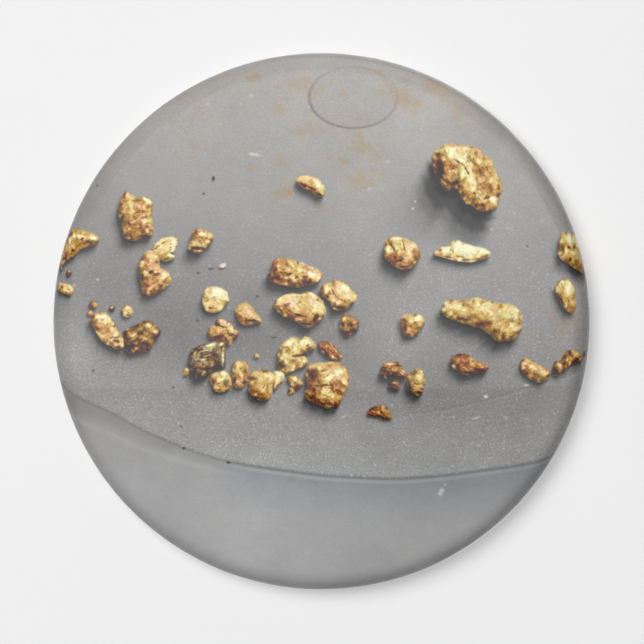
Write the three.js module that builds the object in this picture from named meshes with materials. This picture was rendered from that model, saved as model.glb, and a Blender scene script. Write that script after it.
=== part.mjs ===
// Round fridge magnet, two and a quarter inches across: a domed steel cap carries a printed paper disc under
// clear film, both wrapped round its rim, and a pressed steel back plate holds a full-back flexible magnet.
//
// Millimetres, +Z up. The part hangs on a vertical steel door. The origin is the centre of the magnet's
// contact face, +Y points into the door, and the printed face looks along -Y.
// Every section below is drawn as (radius, depth), where depth is the distance out from the door.
import * as THREE from "three";

// Outside form of the wrapped cap
const outsideRadius = 57.15 / 2;
const overallDepth = 5.5; // contact face to the crown of the dome
const domeRadius = 200; // the face is a shallow part of a sphere
const shoulderRadius = 2.2; // bend from the face into the side
const curlRadius = 0.75; // bend from the side into the lip under the back
const lipDepth = 0.5; // the lip clears the door by this much
const lipInnerRadius = 26.3; // where film and paper end under the back
const shellLipInnerRadius = 26.5; // the steel stops a little short of them

// Sheet thicknesses, from the outside in, and the clearance left between two sheets
const filmThickness = 0.1;
const paperThickness = 0.15;
const shellThickness = 0.3;
const sheetGap = 0.02;

// Back plate, a shallow dish: a flange trapped in the curl and a floor set back for the magnet
const plateThickness = 0.3;
const flangeRadius = 27.8;
const recessMouthRadius = 25.35;
const recessFloorRadius = 25.0;
const wallShift = 0.26; // radial thickness of the slanted wall between flange and floor

// Magnet disc and the double-sided adhesive disc behind it
const magnetRadius = 24.7;
const magnetThickness = 1.5;
const adhesiveRadius = 24.3;
const adhesiveThickness = 0.12;

// Fineness of the facets
const segmentsRound = 64;
const faceSteps = 5;
const shoulderSteps = 6;
const curlSteps = 3;

const finishes = {
  film: { color: "#eef1f3", roughness: 0.06, metalness: 0, transparent: true, opacity: 0.2 },
  print: { color: "#84878a", roughness: 0.6, metalness: 0 },
  tinplate: { color: "#c6c8ca", roughness: 0.32, metalness: 1 },
  magnet: { color: "#2f2b29", roughness: 0.82, metalness: 0 },
  adhesive: { color: "#ddd8c8", roughness: 0.5, metalness: 0 },
};

// Points on an arc about (radius, depth), with the angle measured from the front, 90 degrees facing outwards
function arc(radius, depth, size, fromAngle, toAngle, steps) {
  return Array.from({ length: steps + 1 }, (_, i) => {
    const angle = fromAngle + ((toAngle - fromAngle) * i) / steps;
    return [radius + size * Math.sin(angle), depth + size * Math.cos(angle)];
  });
}

// The wrapped line from the crown of the dome to the end of the lip, set in from the outside by inset
function wrapLine(inset, lipEnd) {
  const faceAngle = Math.asin((outsideRadius - shoulderRadius) / (domeRadius - shoulderRadius));
  const domeDepth = overallDepth - domeRadius;
  const shoulderDepth = domeDepth + (domeRadius - shoulderRadius) * Math.cos(faceAngle);
  const quarter = Math.PI / 2;
  return [
    ...arc(0, domeDepth, domeRadius - inset, 0, faceAngle, faceSteps),
    ...arc(
      outsideRadius - shoulderRadius,
      shoulderDepth,
      shoulderRadius - inset,
      faceAngle,
      quarter,
      shoulderSteps,
    ).slice(1),
    ...arc(
      outsideRadius - curlRadius,
      lipDepth + curlRadius,
      curlRadius - inset,
      quarter,
      2 * quarter,
      curlSteps,
    ),
    [lipEnd, lipDepth + inset],
  ];
}

// One wrapped sheet: its outer line out to the lip, and its inner line back to the middle
function wrappedSheet(inset, thickness, lipEnd) {
  return [...wrapLine(inset, lipEnd), ...wrapLine(inset + thickness, lipEnd).reverse()];
}

function flatDisc(radius, backDepth, thickness) {
  const frontDepth = backDepth + thickness;
  return [
    [0, frontDepth],
    [radius, frontDepth],
    [radius, backDepth],
    [0, backDepth],
  ];
}

function backPlateSection() {
  const floorDepth = magnetThickness + adhesiveThickness + 2 * sheetGap;
  const flangeDepth = lipDepth + shellInset + shellThickness + sheetGap;
  return [
    [0, floorDepth + plateThickness],
    [recessFloorRadius + wallShift, floorDepth + plateThickness],
    [recessMouthRadius + wallShift, flangeDepth + plateThickness],
    [flangeRadius, flangeDepth + plateThickness],
    [flangeRadius, flangeDepth],
    [recessMouthRadius, flangeDepth],
    [recessFloorRadius, floorDepth],
    [0, floorDepth],
  ];
}

// A closed section turned about the Y axis, which starts and ends on that axis
function turnedPart(name, section, finish) {
  const points = section.map(([radius, depth]) => new THREE.Vector2(radius, -depth));
  const geometry = new THREE.LatheGeometry(points, segmentsRound);
  const mesh = new THREE.Mesh(geometry, new THREE.MeshStandardMaterial(finishes[finish]));
  mesh.name = name;
  return mesh;
}

const paperInset = filmThickness + sheetGap;
const shellInset = paperInset + paperThickness + sheetGap;

const fridgeMagnet = new THREE.Group();
fridgeMagnet.add(
  turnedPart("clear_film", wrappedSheet(0, filmThickness, lipInnerRadius), "film"),
  turnedPart("printed_paper", wrappedSheet(paperInset, paperThickness, lipInnerRadius), "print"),
  turnedPart("front_shell", wrappedSheet(shellInset, shellThickness, shellLipInnerRadius), "tinplate"),
  turnedPart("back_plate", backPlateSection(), "tinplate"),
  turnedPart(
    "adhesive_disc",
    flatDisc(adhesiveRadius, magnetThickness + sheetGap, adhesiveThickness),
    "adhesive",
  ),
  turnedPart("magnet_disc", flatDisc(magnetRadius, 0, magnetThickness), "magnet"),
);

export default fridgeMagnet;
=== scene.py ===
import math

import bmesh
import bpy
import numpy as np
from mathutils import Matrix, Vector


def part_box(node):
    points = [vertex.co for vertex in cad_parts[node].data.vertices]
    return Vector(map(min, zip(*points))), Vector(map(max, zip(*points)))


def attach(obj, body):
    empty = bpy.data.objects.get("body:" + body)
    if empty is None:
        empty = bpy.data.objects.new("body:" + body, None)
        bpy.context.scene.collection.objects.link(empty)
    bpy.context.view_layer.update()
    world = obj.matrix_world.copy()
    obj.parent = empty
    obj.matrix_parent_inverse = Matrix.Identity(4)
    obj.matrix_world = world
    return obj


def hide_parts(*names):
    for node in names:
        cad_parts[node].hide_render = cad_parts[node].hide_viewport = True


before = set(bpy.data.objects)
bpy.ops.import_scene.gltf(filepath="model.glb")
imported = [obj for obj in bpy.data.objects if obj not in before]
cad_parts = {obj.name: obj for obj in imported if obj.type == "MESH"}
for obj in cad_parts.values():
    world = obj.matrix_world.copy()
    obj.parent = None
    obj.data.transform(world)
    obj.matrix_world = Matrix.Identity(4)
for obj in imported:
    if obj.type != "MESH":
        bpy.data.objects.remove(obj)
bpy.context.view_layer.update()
mm = 0.001

# places read from the frame
filmLow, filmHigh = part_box("clear_film")
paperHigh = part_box("printed_paper")[1]
plateLow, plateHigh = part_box("back_plate")
magnetLow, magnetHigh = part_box("magnet_disc")
rimRadius = filmHigh.x
crownDepth = -filmLow.y
lipDepth = -filmHigh.y
paperInset = rimRadius - paperHigh.x

# the wrapped outline that film and paper share
wrap = {
    "domeRadius": 200 * mm,
    "shoulderRadius": 2.2 * mm,
    "curlRadius": 0.75 * mm,
    "lipEnd": 26.3 * mm,
    "lipStep": 0.35 * mm,
    "segments": 240,
    "pleats": 31,  # small tucks that the wrap takes on the back lip
    "pleatDepth": 0.09 * mm,
}
faceAngle = math.asin((rimRadius - wrap["shoulderRadius"]) / (wrap["domeRadius"] - wrap["shoulderRadius"]))
bendRadius = rimRadius - wrap["shoulderRadius"]
bendDepth = (crownDepth - wrap["domeRadius"]
             + math.cos(faceAngle) * (wrap["domeRadius"] - wrap["shoulderRadius"]))
print("frame loaded, rim radius", round(rimRadius / mm, 3), "mm")


# points round an arc about (radius, depth), measured from the front
def arcPoints(radius, depth, size, fromAngle, toAngle, steps):
    angles = [fromAngle + (toAngle - fromAngle) * i / steps for i in range(steps + 1)]
    return [(radius + size * math.sin(a), depth + size * math.cos(a)) for a in angles]


# crown to lip, set in from the outside by inset
def wrapLine(inset, faceSteps, bendSteps):
    curl = wrap["curlRadius"]
    domeDepth, domeSize = crownDepth - wrap["domeRadius"], wrap["domeRadius"] - inset
    face = arcPoints(0, domeDepth, domeSize, 0, faceAngle, faceSteps)
    face[-1:] = arcPoints(0, domeDepth, domeSize, 0.995 * faceAngle, faceAngle, 1)  # keeps the dome's slope
    shoulder = arcPoints(bendRadius, bendDepth, wrap["shoulderRadius"] - inset,
                         faceAngle, math.pi / 2, bendSteps)
    roll = arcPoints(rimRadius - curl, lipDepth + curl, curl - inset, math.pi / 2, math.pi, bendSteps)
    lip = [(wrap["lipEnd"] + wrap["lipStep"] * k, lipDepth + inset) for k in (3, 2, 1, 0)]
    return face + shoulder[1:] + roll + lip


def startPiece(name):
    if bpy.context.object and bpy.context.object.mode != "OBJECT":
        bpy.ops.object.mode_set(mode="OBJECT")
    bpy.ops.object.select_all(action="DESELECT")
    bpy.ops.mesh.primitive_plane_add(size=mm, location=(0, 0, 0))
    piece = bpy.context.object
    piece.name = piece.data.name = name
    return piece


# a closed line of (radius, depth) points drawn by extruding one vertex, then spun about Y
def turnPiece(name, line, segments):
    piece = startPiece(name)
    bpy.ops.object.mode_set(mode="EDIT")
    bpy.ops.mesh.select_mode(type="VERT")  # a lone vertex can't be extruded in face mode
    bpy.ops.mesh.select_all(action="SELECT")
    bpy.ops.mesh.merge(type="CENTER")
    radius, depth = line[0]
    bpy.ops.transform.translate(value=(radius, -depth, 0))
    for nextRadius, nextDepth in line[1:]:
        step = (nextRadius - radius, depth - nextDepth, 0)
        bpy.ops.mesh.extrude_region_move(TRANSFORM_OT_translate={"value": step})
        radius, depth = nextRadius, nextDepth
    bpy.ops.mesh.select_all(action="SELECT")
    bpy.ops.mesh.spin(steps=segments, angle=2 * math.pi, center=(0, 0, 0), axis=(0, 1, 0))
    bpy.ops.mesh.select_all(action="SELECT")
    bpy.ops.mesh.remove_doubles(threshold=1e-7)
    bpy.ops.mesh.normals_make_consistent(inside=False)
    bpy.ops.object.mode_set(mode="OBJECT")
    if len(piece.data.polygons) < segments:
        raise RuntimeError(name + " has no surface")
    return piece


# selects the elements that a test picks
def selectWhere(piece, kind, test):
    bpy.ops.mesh.select_mode(type=kind)
    bpy.ops.mesh.select_all(action="DESELECT")
    mesh = bmesh.from_edit_mesh(piece.data)
    for item in mesh.verts if kind == "VERT" else mesh.faces:
        if test(item):
            item.select = True
    mesh.select_flush(True)
    bmesh.update_edit_mesh(piece.data)


# small tucks in the back lip, at the same places in both wrapped sheets
def pleatLip(piece):
    spots = np.random.default_rng(5).uniform(0, 2 * math.pi, wrap["pleats"])
    slotAngle = 2 * math.pi / wrap["segments"]
    tucks = {round(spot / slotAngle) % wrap["segments"] for spot in spots}

    def inTuck(vert):
        radius = math.hypot(vert.co.x, vert.co.z)
        if radius > wrap["lipEnd"] + 2.5 * wrap["lipStep"] or vert.co.y < -lipDepth - 0.5 * mm:
            return False
        return round(math.atan2(vert.co.z, vert.co.x) / slotAngle) % wrap["segments"] in tucks

    bpy.ops.object.mode_set(mode="EDIT")
    selectWhere(piece, "VERT", inTuck)
    bpy.ops.transform.translate(value=(0, wrap["pleatDepth"], 0))
    bpy.ops.object.mode_set(mode="OBJECT")

# The printed picture: natural nuggets lying on a grey pan. Its places are (x, z) in mm on the face.
# Each nugget has its outline, look = (tone 0 dark to 1 white, hue -1 grey to 0 gold to 1 rust, shadow reach),
# and marks of (x, z, length, width, turn in degrees, tone, hue).
nuggets = {
    "leftWedge": {
        "edge": [(-29.6, 6.0), (-28.9, 7.2), (-28.0, 8.0), (-26.85, 9.65), (-26.2, 9.85), (-25.3, 9.65),
                 (-24.5, 9.4), (-23.8, 9.05), (-23.45, 8.6), (-23.8, 8.15), (-24.6, 7.9), (-25.5, 7.65),
                 (-25.8, 7.2), (-26.7, 6.65), (-27.1, 6.3), (-27.8, 6.0), (-28.8, 5.7)],
        "look": (0.55, 0.25, 0.8),
        "marks": [(-25.6, 8.95, 1.3, 0.4, -15, 0.84, 0), (-26.8, 8.8, 0.8, 0.5, 50, 0.78, 0),
                  (-24.0, 8.7, 0.5, 0.4, -30, 0.92, 0), (-25.3, 8.7, 0.3, 0.25, 0, 0.22, 0.6),
                  (-24.6, 8.35, 0.5, 0.2, -10, 0.25, 0.6), (-27.2, 7.4, 1.5, 0.5, 45, 0.5, 0.8),
                  (-27.5, 6.7, 0.9, 0.35, 30, 0.18, 0.7), (-26.2, 7.5, 0.8, 0.35, 10, 0.36, 0.5)],
    },
    "leftChip": {
        "edge": [(-28.0, 5.85), (-27.6, 5.75), (-27.5, 5.5), (-27.7, 5.35), (-28.0, 5.45)],
        "look": (0.42, -0.4, 0.2), "marks": [],
    },
    "leftCrumb": {
        "edge": [(-27.0, 5.2), (-26.75, 5.4), (-26.45, 5.2), (-26.5, 4.85), (-26.85, 4.8)],
        "look": (0.3, 0.6, 0.25), "marks": [(-26.7, 5.28, 0.35, 0.15, 0, 0.95, 0)],
    },
    "tallBlock": {
        "edge": [(-20.6, 13.7), (-19.8, 13.2), (-19.1, 13.0), (-18.6, 13.1), (-18.1, 12.9), (-17.8, 12.5),
                 (-17.9, 11.1), (-17.8, 10.4), (-17.75, 9.5), (-17.9, 9.0), (-19.1, 8.8), (-19.7, 8.5),
                 (-20.3, 8.6), (-20.8, 8.9), (-21.05, 10.2), (-21.3, 11.0), (-21.4, 11.9), (-21.2, 12.7),
                 (-20.95, 13.3)],
        "look": (0.53, 0.45, 0.9),
        "marks": [(-20.3, 12.0, 1.0, 0.9, 80, 0.62, 0.1), (-20.5, 13.3, 0.5, 0.4, 0, 0.78, 0.5),
                  (-18.4, 12.75, 1.0, 0.3, -35, 0.9, 0), (-18.65, 11.4, 0.7, 0.25, 80, 0.9, 0.8),
                  (-18.2, 11.3, 0.6, 0.18, 75, 0.85, 0.7), (-18.7, 10.5, 0.7, 0.3, 60, 0.84, 0.5),
                  (-19.9, 10.5, 0.6, 0.35, 30, 0.78, 0.3), (-18.4, 9.5, 0.7, 0.3, 70, 0.82, 0.6),
                  (-18.3, 12.0, 0.6, 0.35, 20, 0.3, 0.9), (-19.2, 12.75, 0.7, 0.25, -15, 0.3, 0.8),
                  (-19.05, 10.1, 0.8, 0.3, 75, 0.3, 0.9), (-19.6, 11.1, 1.0, 0.45, 60, 0.38, 0.1),
                  (-20.4, 9.3, 0.9, 0.7, 80, 0.56, 0.2), (-18.7, 8.95, 1.2, 0.25, 5, 0.15, 0.6),
                  (-18.35, 10.0, 0.4, 0.2, 60, 0.3, 0.8), (-21.0, 10.9, 0.9, 0.2, 78, 0.34, 0.5)],
    },
    "paleLeaf": {
        "edge": [(-15.1, 8.8), (-15.65, 8.9), (-16.6, 8.8), (-17.2, 8.4), (-17.7, 7.9), (-17.75, 7.6),
                 (-17.4, 7.1), (-16.95, 6.6), (-16.4, 6.3), (-15.7, 6.5), (-15.4, 6.8), (-15.65, 7.1),
                 (-15.4, 7.6), (-15.2, 8.2)],
        "look": (0.8, 0.05, 0.5),
        "marks": [(-15.45, 8.55, 0.6, 0.4, 10, 1.0, 0), (-16.6, 8.3, 0.9, 0.14, 30, 0.32, 0.1),
                  (-17.25, 7.85, 0.7, 0.14, 40, 0.34, 0.1), (-15.9, 7.85, 1.1, 0.1, 90, 0.3, 0.2),
                  (-16.3, 7.1, 0.7, 0.45, 35, 0.66, 0), (-15.65, 7.15, 0.35, 0.22, 0, 0.12, 0.2),
                  (-16.9, 7.2, 0.5, 0.25, 50, 0.9, 0), (-16.3, 6.55, 0.6, 0.16, 10, 0.4, 0.3)],
    },
    "crescent": {
        "edge": [(-17.9, 7.45), (-17.3, 7.0), (-17.1, 6.6), (-17.0, 5.7), (-16.5, 5.4), (-16.0, 5.0),
                 (-15.8, 4.4), (-16.1, 3.9), (-16.7, 3.4), (-17.3, 3.0), (-18.1, 2.7), (-18.7, 3.0),
                 (-19.0, 3.9), (-19.2, 4.9), (-19.2, 6.0), (-18.9, 6.8), (-18.4, 7.3)],
        "look": (0.6, 0.35, 0.7),
        "marks": [(-18.8, 6.0, 0.9, 0.35, 85, 0.88, 0.4), (-18.7, 5.3, 0.5, 0.3, 80, 0.86, 0.6),
                  (-17.6, 6.1, 1.0, 0.6, 60, 0.55, 0.7), (-17.9, 5.2, 0.6, 0.4, 20, 0.06, -0.3),
                  (-17.35, 4.95, 0.7, 0.35, 0, 0.25, 0.7), (-17.8, 4.4, 0.5, 0.3, 30, 0.5, 1.2),
                  (-18.3, 3.75, 0.4, 0.25, 40, 0.48, 1.1), (-18.85, 4.6, 0.7, 0.2, 80, 0.18, 0.6),
                  (-17.8, 3.6, 1.1, 0.28, 38, 0.88, 0.1), (-16.7, 4.45, 1.0, 0.3, 38, 0.86, 0.1),
                  (-16.9, 3.65, 0.8, 0.16, 40, 0.28, 0), (-18.1, 6.9, 0.6, 0.4, 30, 0.72, 0.1)],
    },
    "flatBean": {
        "edge": [(-28.2, 3.5), (-28.0, 4.1), (-27.3, 4.0), (-26.6, 3.9), (-26.2, 3.5), (-26.2, 3.1),
                 (-26.5, 2.75), (-27.1, 2.9), (-27.7, 3.15)],
        "look": (0.7, 0.2, 0.4),
        "marks": [(-27.2, 3.2, 0.9, 0.25, -5, 0.9, 0), (-27.5, 3.62, 0.9, 0.1, 5, 0.2, 0.5),
                  (-26.7, 3.35, 0.5, 0.1, -45, 0.25, 0.5), (-27.4, 3.9, 0.7, 0.16, -5, 0.92, 0)],
    },
    "bead1": {
        "edge": [(-24.5, 1.8), (-24.2, 2.15), (-23.8, 2.05), (-23.65, 1.7), (-23.9, 1.35), (-24.3, 1.4)],
        "look": (0.42, 0.7, 0.3), "marks": [(-23.85, 1.8, 0.3, 0.4, 0, 0.66, 0.3)],
    },
    "bead2": {
        "edge": [(-24.7, 0.9), (-24.4, 1.15), (-24.1, 1.0), (-24.05, 0.7), (-24.3, 0.55), (-24.65, 0.6)],
        "look": (0.5, 1.0, 0.2), "marks": [(-24.35, 0.95, 0.2, 0.15, 0, 0.75, 0.8)],
    },
    "bead3": {
        "edge": [(-22.4, 1.35), (-22.15, 1.65), (-21.85, 1.55), (-21.8, 1.2), (-22.05, 1.02),
                 (-22.35, 1.1)],
        "look": (0.4, -0.5, 0.2), "marks": [(-22.1, 1.5, 0.25, 0.12, 0, 0.95, 0)],
    },
    "bead4": {
        "edge": [(-21.05, 1.2), (-20.75, 1.65), (-20.25, 1.7), (-19.9, 1.3), (-19.95, 0.8), (-20.35, 0.5),
                 (-20.85, 0.6)],
        "look": (0.55, 0.5, 0.35),
        "marks": [(-20.4, 1.4, 0.5, 0.2, 0, 0.75, 0.1), (-20.6, 0.95, 0.35, 0.2, 20, 0.8, 0.9),
                  (-20.4, 0.65, 0.6, 0.15, 5, 0.12, 0.4)],
    },
    "slopingCream": {
        "edge": [(-24.4, 0.2), (-24.0, 0.65), (-23.4, 0.95), (-22.8, 0.9), (-22.3, 0.4), (-21.9, -0.1),
                 (-21.5, -0.9), (-21.0, -1.5), (-20.8, -2.7), (-21.4, -2.9), (-22.2, -2.6), (-22.9, -2.2),
                 (-23.5, -1.5), (-23.9, -0.8), (-24.3, -0.2)],
        "look": (0.62, 0.35, 0.7),
        "marks": [(-23.3, 0.5, 1.2, 0.4, 5, 0.98, 0), (-23.1, 0.08, 0.3, 0.12, 20, 0.2, 0.5),
                  (-23.7, 0.12, 0.25, 0.12, 0, 0.22, 0.5), (-22.25, 0.0, 1.3, 0.25, -50, 0.9, 0.1),
                  (-22.8, -0.8, 1.0, 0.8, -40, 0.55, 0.6), (-22.0, -1.1, 0.9, 0.5, -50, 0.74, 0.6),
                  (-22.0, -1.7, 1.6, 0.14, 0, 0.25, 0.7), (-21.5, -2.1, 0.8, 0.4, -10, 0.16, 0.5),
                  (-22.1, -2.2, 0.6, 0.3, -30, 0.58, 0.3), (-21.5, -2.75, 0.8, 0.2, -10, 0.1, 0.4),
                  (-23.7, -0.5, 0.8, 0.4, -60, 0.5, 0.5)],
    },
    "darkCrust": {
        "edge": [(-20.9, -1.2), (-20.4, -0.8), (-19.6, -0.4), (-19.0, -0.1), (-18.4, 0.1), (-17.9, -0.1),
                 (-17.3, -0.6), (-16.9, -1.0), (-17.1, -1.6), (-17.6, -2.1), (-17.9, -2.8), (-18.6, -3.1),
                 (-19.4, -3.3), (-20.0, -3.4), (-20.6, -3.0), (-20.9, -2.2)],
        "look": (0.38, 0.2, 0.6),
        "marks": [(-20.45, -0.85, 0.3, 0.12, 30, 0.95, 0), (-19.9, -0.65, 0.7, 0.25, 25, 0.45, 0.7),
                  (-19.0, -0.35, 0.6, 0.2, 20, 0.42, 1.1), (-18.2, -0.45, 0.6, 0.35, -20, 0.74, 0),
                  (-17.6, -1.05, 0.5, 0.4, -45, 0.72, 0.1), (-17.2, -1.05, 0.3, 0.3, 0, 0.52, 0.8),
                  (-18.4, -1.0, 1.4, 0.14, -42, 0.06, 0.2), (-19.1, -1.25, 0.8, 0.5, 20, 0.12, -0.3),
                  (-18.5, -2.4, 0.7, 0.4, 0, 0.12, -0.4), (-19.9, -1.9, 0.6, 0.2, 25, 0.66, 0.2),
                  (-19.85, -1.5, 0.5, 0.14, 20, 0.74, 0.1), (-19.8, -2.9, 0.8, 0.45, 10, 0.68, 0.6),
                  (-18.1, -2.75, 0.2, 0.12, 0, 0.9, 0), (-18.9, -1.9, 0.5, 0.2, 30, 0.4, 0.6),
                  (-17.9, -1.6, 0.4, 0.3, -30, 0.45, 0.3), (-20.5, -2.1, 0.5, 0.3, 80, 0.35, 0.5)],
    },
    "topCentreLeft": {
        "edge": [(-13.1, 9.8), (-12.3, 9.6), (-11.5, 9.2), (-11.35, 8.7), (-11.6, 8.2), (-12.0, 8.0),
                 (-12.8, 7.2), (-13.9, 7.6), (-13.9, 8.1), (-13.6, 8.9), (-13.5, 9.5)],
        "look": (0.58, 0.25, 1.0),
        "marks": [(-12.5, 9.15, 1.0, 0.45, -20, 0.7, 0), (-13.5, 8.75, 0.4, 0.5, 0, 0.76, 0.8),
                  (-13.35, 8.1, 0.4, 0.3, 0, 0.88, 0.1), (-11.9, 8.45, 0.45, 0.35, 0, 0.86, 0.1),
                  (-12.9, 9.4, 0.3, 0.18, 0, 0.28, 0.6), (-12.1, 8.75, 0.35, 0.2, 30, 0.28, 0.6),
                  (-13.1, 7.7, 1.6, 0.35, -5, 0.1, 0.3), (-12.8, 8.5, 0.5, 0.2, 40, 0.36, 0.5)],
    },
    "smoothCream": {
        "edge": [(-11.9, 3.55), (-11.0, 3.6), (-10.1, 3.2), (-9.8, 2.7), (-9.75, 2.1), (-10.2, 1.6),
                 (-10.7, 1.1), (-11.3, 0.95), (-12.0, 1.1), (-12.4, 1.6), (-12.5, 2.3), (-12.4, 3.0)],
        "look": (0.78, 0.15, 0.6),
        "marks": [(-10.8, 3.1, 1.1, 0.4, -15, 0.97, 0), (-11.5, 1.4, 1.2, 0.35, 0, 0.56, 0.4),
                  (-11.4, 2.5, 0.6, 0.1, 30, 0.45, -0.2), (-11.2, 2.2, 0.4, 0.09, -50, 0.45, -0.2),
                  (-11.3, 1.65, 0.3, 0.14, 0, 0.3, 0.5), (-11.9, 2.9, 0.6, 0.5, 60, 0.84, 0.2)],
    },
    "wedge": {
        "edge": [(-8.2, 1.95), (-7.8, 1.95), (-7.2, 1.3), (-6.7, 0.6), (-6.3, 0.0), (-6.7, -0.2),
                 (-7.9, -0.35), (-8.6, -0.1), (-8.9, 0.5), (-9.0, 1.1), (-8.8, 1.6)],
        "look": (0.62, 0.4, 0.5),
        "marks": [(-8.4, 0.7, 1.1, 0.25, -40, 0.92, 0), (-7.6, 1.0, 0.9, 0.4, -55, 0.72, 0.9),
                  (-7.3, 0.08, 1.7, 0.22, -4, 0.2, 0.5), (-7.9, -0.12, 0.4, 0.14, 0, 0.55, 0.3),
                  (-8.4, 1.5, 0.6, 0.4, 50, 0.66, 0.3)],
    },
    "foldedPeach": {
        "edge": [(-10.6, 0.3), (-10.0, 0.1), (-9.4, -0.4), (-8.8, -1.1), (-8.8, -1.6), (-9.3, -1.8),
                 (-9.6, -2.4), (-10.2, -2.3), (-11.0, -2.1), (-11.7, -1.7), (-11.9, -0.9), (-11.3, -0.3),
                 (-11.0, 0.1)],
        "look": (0.56, 0.45, 0.5),
        "marks": [(-10.4, 0.0, 0.9, 0.3, -15, 0.76, 0.6), (-9.3, -1.0, 1.0, 0.35, -50, 0.76, 0.5),
                  (-10.6, -0.5, 1.3, 0.22, -18, 0.12, 0.5), (-9.8, -1.2, 0.9, 0.2, -65, 0.14, 0.5),
                  (-10.4, -1.3, 0.6, 0.4, 0, 0.46, 1.1), (-10.9, -1.65, 0.7, 0.3, 10, 0.3, 0),
                  (-9.6, -2.2, 0.5, 0.25, 0, 0.56, 0.3), (-11.5, -1.0, 0.5, 0.35, 70, 0.5, 0.5)],
    },
    "darkBlock": {
        "edge": [(-13.7, -3.0), (-12.9, -2.6), (-12.0, -2.3), (-11.0, -2.1), (-10.4, -2.1),
                 (-10.15, -2.5), (-10.1, -4.6), (-10.3, -4.9), (-11.0, -5.1), (-11.6, -5.5),
                 (-12.3, -6.0), (-13.2, -6.2), (-13.6, -5.7), (-13.9, -4.9), (-13.95, -4.0), (-13.8, -3.4)],
        "look": (0.42, -0.7, 0.7),
        "marks": [(-11.6, -2.5, 0.9, 0.25, 15, 0.82, 0.1), (-10.5, -2.4, 0.35, 0.35, 0, 0.96, 0),
                  (-10.35, -3.6, 2.0, 0.22, 88, 0.74, 0.2), (-11.2, -3.0, 0.8, 0.5, 20, 0.3, -0.8),
                  (-11.05, -3.6, 0.6, 0.4, 60, 0.28, -0.8), (-12.3, -3.1, 1.0, 0.14, 12, 0.88, 0),
                  (-12.1, -3.65, 0.8, 0.12, 20, 0.84, 0), (-12.3, -4.0, 0.9, 0.12, 5, 0.8, 0.1),
                  (-13.3, -3.35, 0.4, 0.3, 40, 0.56, 0.3), (-13.0, -4.7, 0.6, 0.3, 20, 0.52, 0.3),
                  (-11.3, -4.5, 0.7, 0.25, 10, 0.56, 0.3), (-11.2, -4.05, 0.5, 0.2, 0, 0.35, 1.0),
                  (-12.0, -5.0, 2.4, 0.4, -3, 0.07, 0.2), (-12.8, -5.8, 1.0, 0.3, -15, 0.06, 0.3),
                  (-12.9, -4.2, 0.4, 0.25, 0, 0.1, -0.4), (-13.5, -4.9, 0.4, 0.6, 0, 0.3, 0.4)],
    },
    "oliveCrumb": {
        "edge": [(-14.3, -4.9), (-14.0, -5.1), (-14.0, -5.6), (-14.2, -5.85), (-14.5, -5.7), (-14.5, -5.2)],
        "look": (0.45, -0.1, 0.2), "marks": [(-14.2, -5.2, 0.2, 0.3, 0, 0.66, 0)],
    },
    "creamFacet": {
        "edge": [(-11.8, -5.9), (-11.1, -5.4), (-10.4, -5.2), (-9.8, -5.5), (-9.5, -6.1), (-9.4, -6.8),
                 (-9.9, -7.2), (-10.6, -7.4), (-11.2, -7.3), (-11.5, -6.7)],
        "look": (0.62, 0.25, 0.5),
        "marks": [(-10.3, -5.5, 0.9, 0.3, 0, 0.9, 0.1), (-10.0, -6.4, 0.6, 0.55, 70, 0.28, -0.7),
                  (-10.65, -6.2, 0.7, 0.4, 30, 0.86, 0), (-10.7, -6.45, 0.6, 0.1, 30, 0.3, 0.5),
                  (-11.3, -6.3, 0.6, 0.5, 60, 0.56, 0.3), (-9.85, -7.0, 0.5, 0.14, 30, 0.95, 0),
                  (-10.8, -7.2, 0.8, 0.2, -5, 0.25, 0.5)],
    },
    "stripedTan": {
        "edge": [(-9.2, -4.3), (-7.9, -4.3), (-7.75, -4.9), (-7.6, -5.5), (-7.6, -6.2), (-8.1, -6.8),
                 (-8.6, -7.0), (-9.2, -6.8), (-9.5, -6.1), (-9.4, -5.3)],
        "look": (0.55, 0.45, 0.45),
        "marks": [(-8.65, -5.1, 1.4, 0.35, -66, 0.93, 0), (-8.0, -5.1, 1.3, 0.3, -80, 0.52, 0.7),
                  (-7.75, -5.9, 0.5, 0.25, 80, 0.45, 1.1), (-8.1, -6.45, 0.5, 0.25, 30, 0.18, 0.5),
                  (-9.15, -6.2, 0.6, 0.25, 75, 0.18, 0.4), (-8.6, -6.6, 0.4, 0.1, 10, 0.95, 0)],
    },
    "lumpyGold": {
        "edge": [(-7.3, -5.3), (-6.6, -5.2), (-5.8, -5.1), (-5.1, -5.5), (-4.5, -5.7), (-4.7, -6.4),
                 (-5.2, -6.8), (-5.2, -7.4), (-5.5, -8.1), (-6.3, -8.3), (-7.1, -8.0), (-7.6, -7.3),
                 (-7.6, -6.4), (-7.5, -5.8)],
        "look": (0.6, 0.2, 0.7),
        "marks": [(-5.3, -6.5, 0.6, 0.9, 0, 0.85, 0.1), (-5.8, -5.65, 0.8, 0.3, 0, 0.78, -0.3),
                  (-6.6, -8.05, 1.3, 0.25, -3, 0.25, 0.5), (-6.9, -6.5, 0.9, 0.8, 70, 0.62, 0.1),
                  (-6.1, -6.9, 0.7, 0.2, 50, 0.4, 0.4), (-6.2, -7.4, 0.5, 0.3, 20, 0.74, 0.2)],
    },
    "creamFlake": {
        "edge": [(-5.0, -5.4), (-4.3, -5.3), (-3.9, -5.6), (-4.0, -6.2), (-4.4, -6.7), (-5.0, -7.1)],
        "look": (0.74, 0.35, 0.4), "marks": [(-4.6, -6.75, 0.8, 0.2, 40, 0.35, 0.6)],
    },
    "tanDot": {
        "edge": [(-7.1, -3.6), (-6.9, -3.4), (-6.6, -3.5), (-6.57, -3.8), (-6.8, -3.92), (-7.08, -3.82)],
        "look": (0.6, 0.2, 0.2), "marks": [],
    },
    "redBrownLong": {
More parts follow.
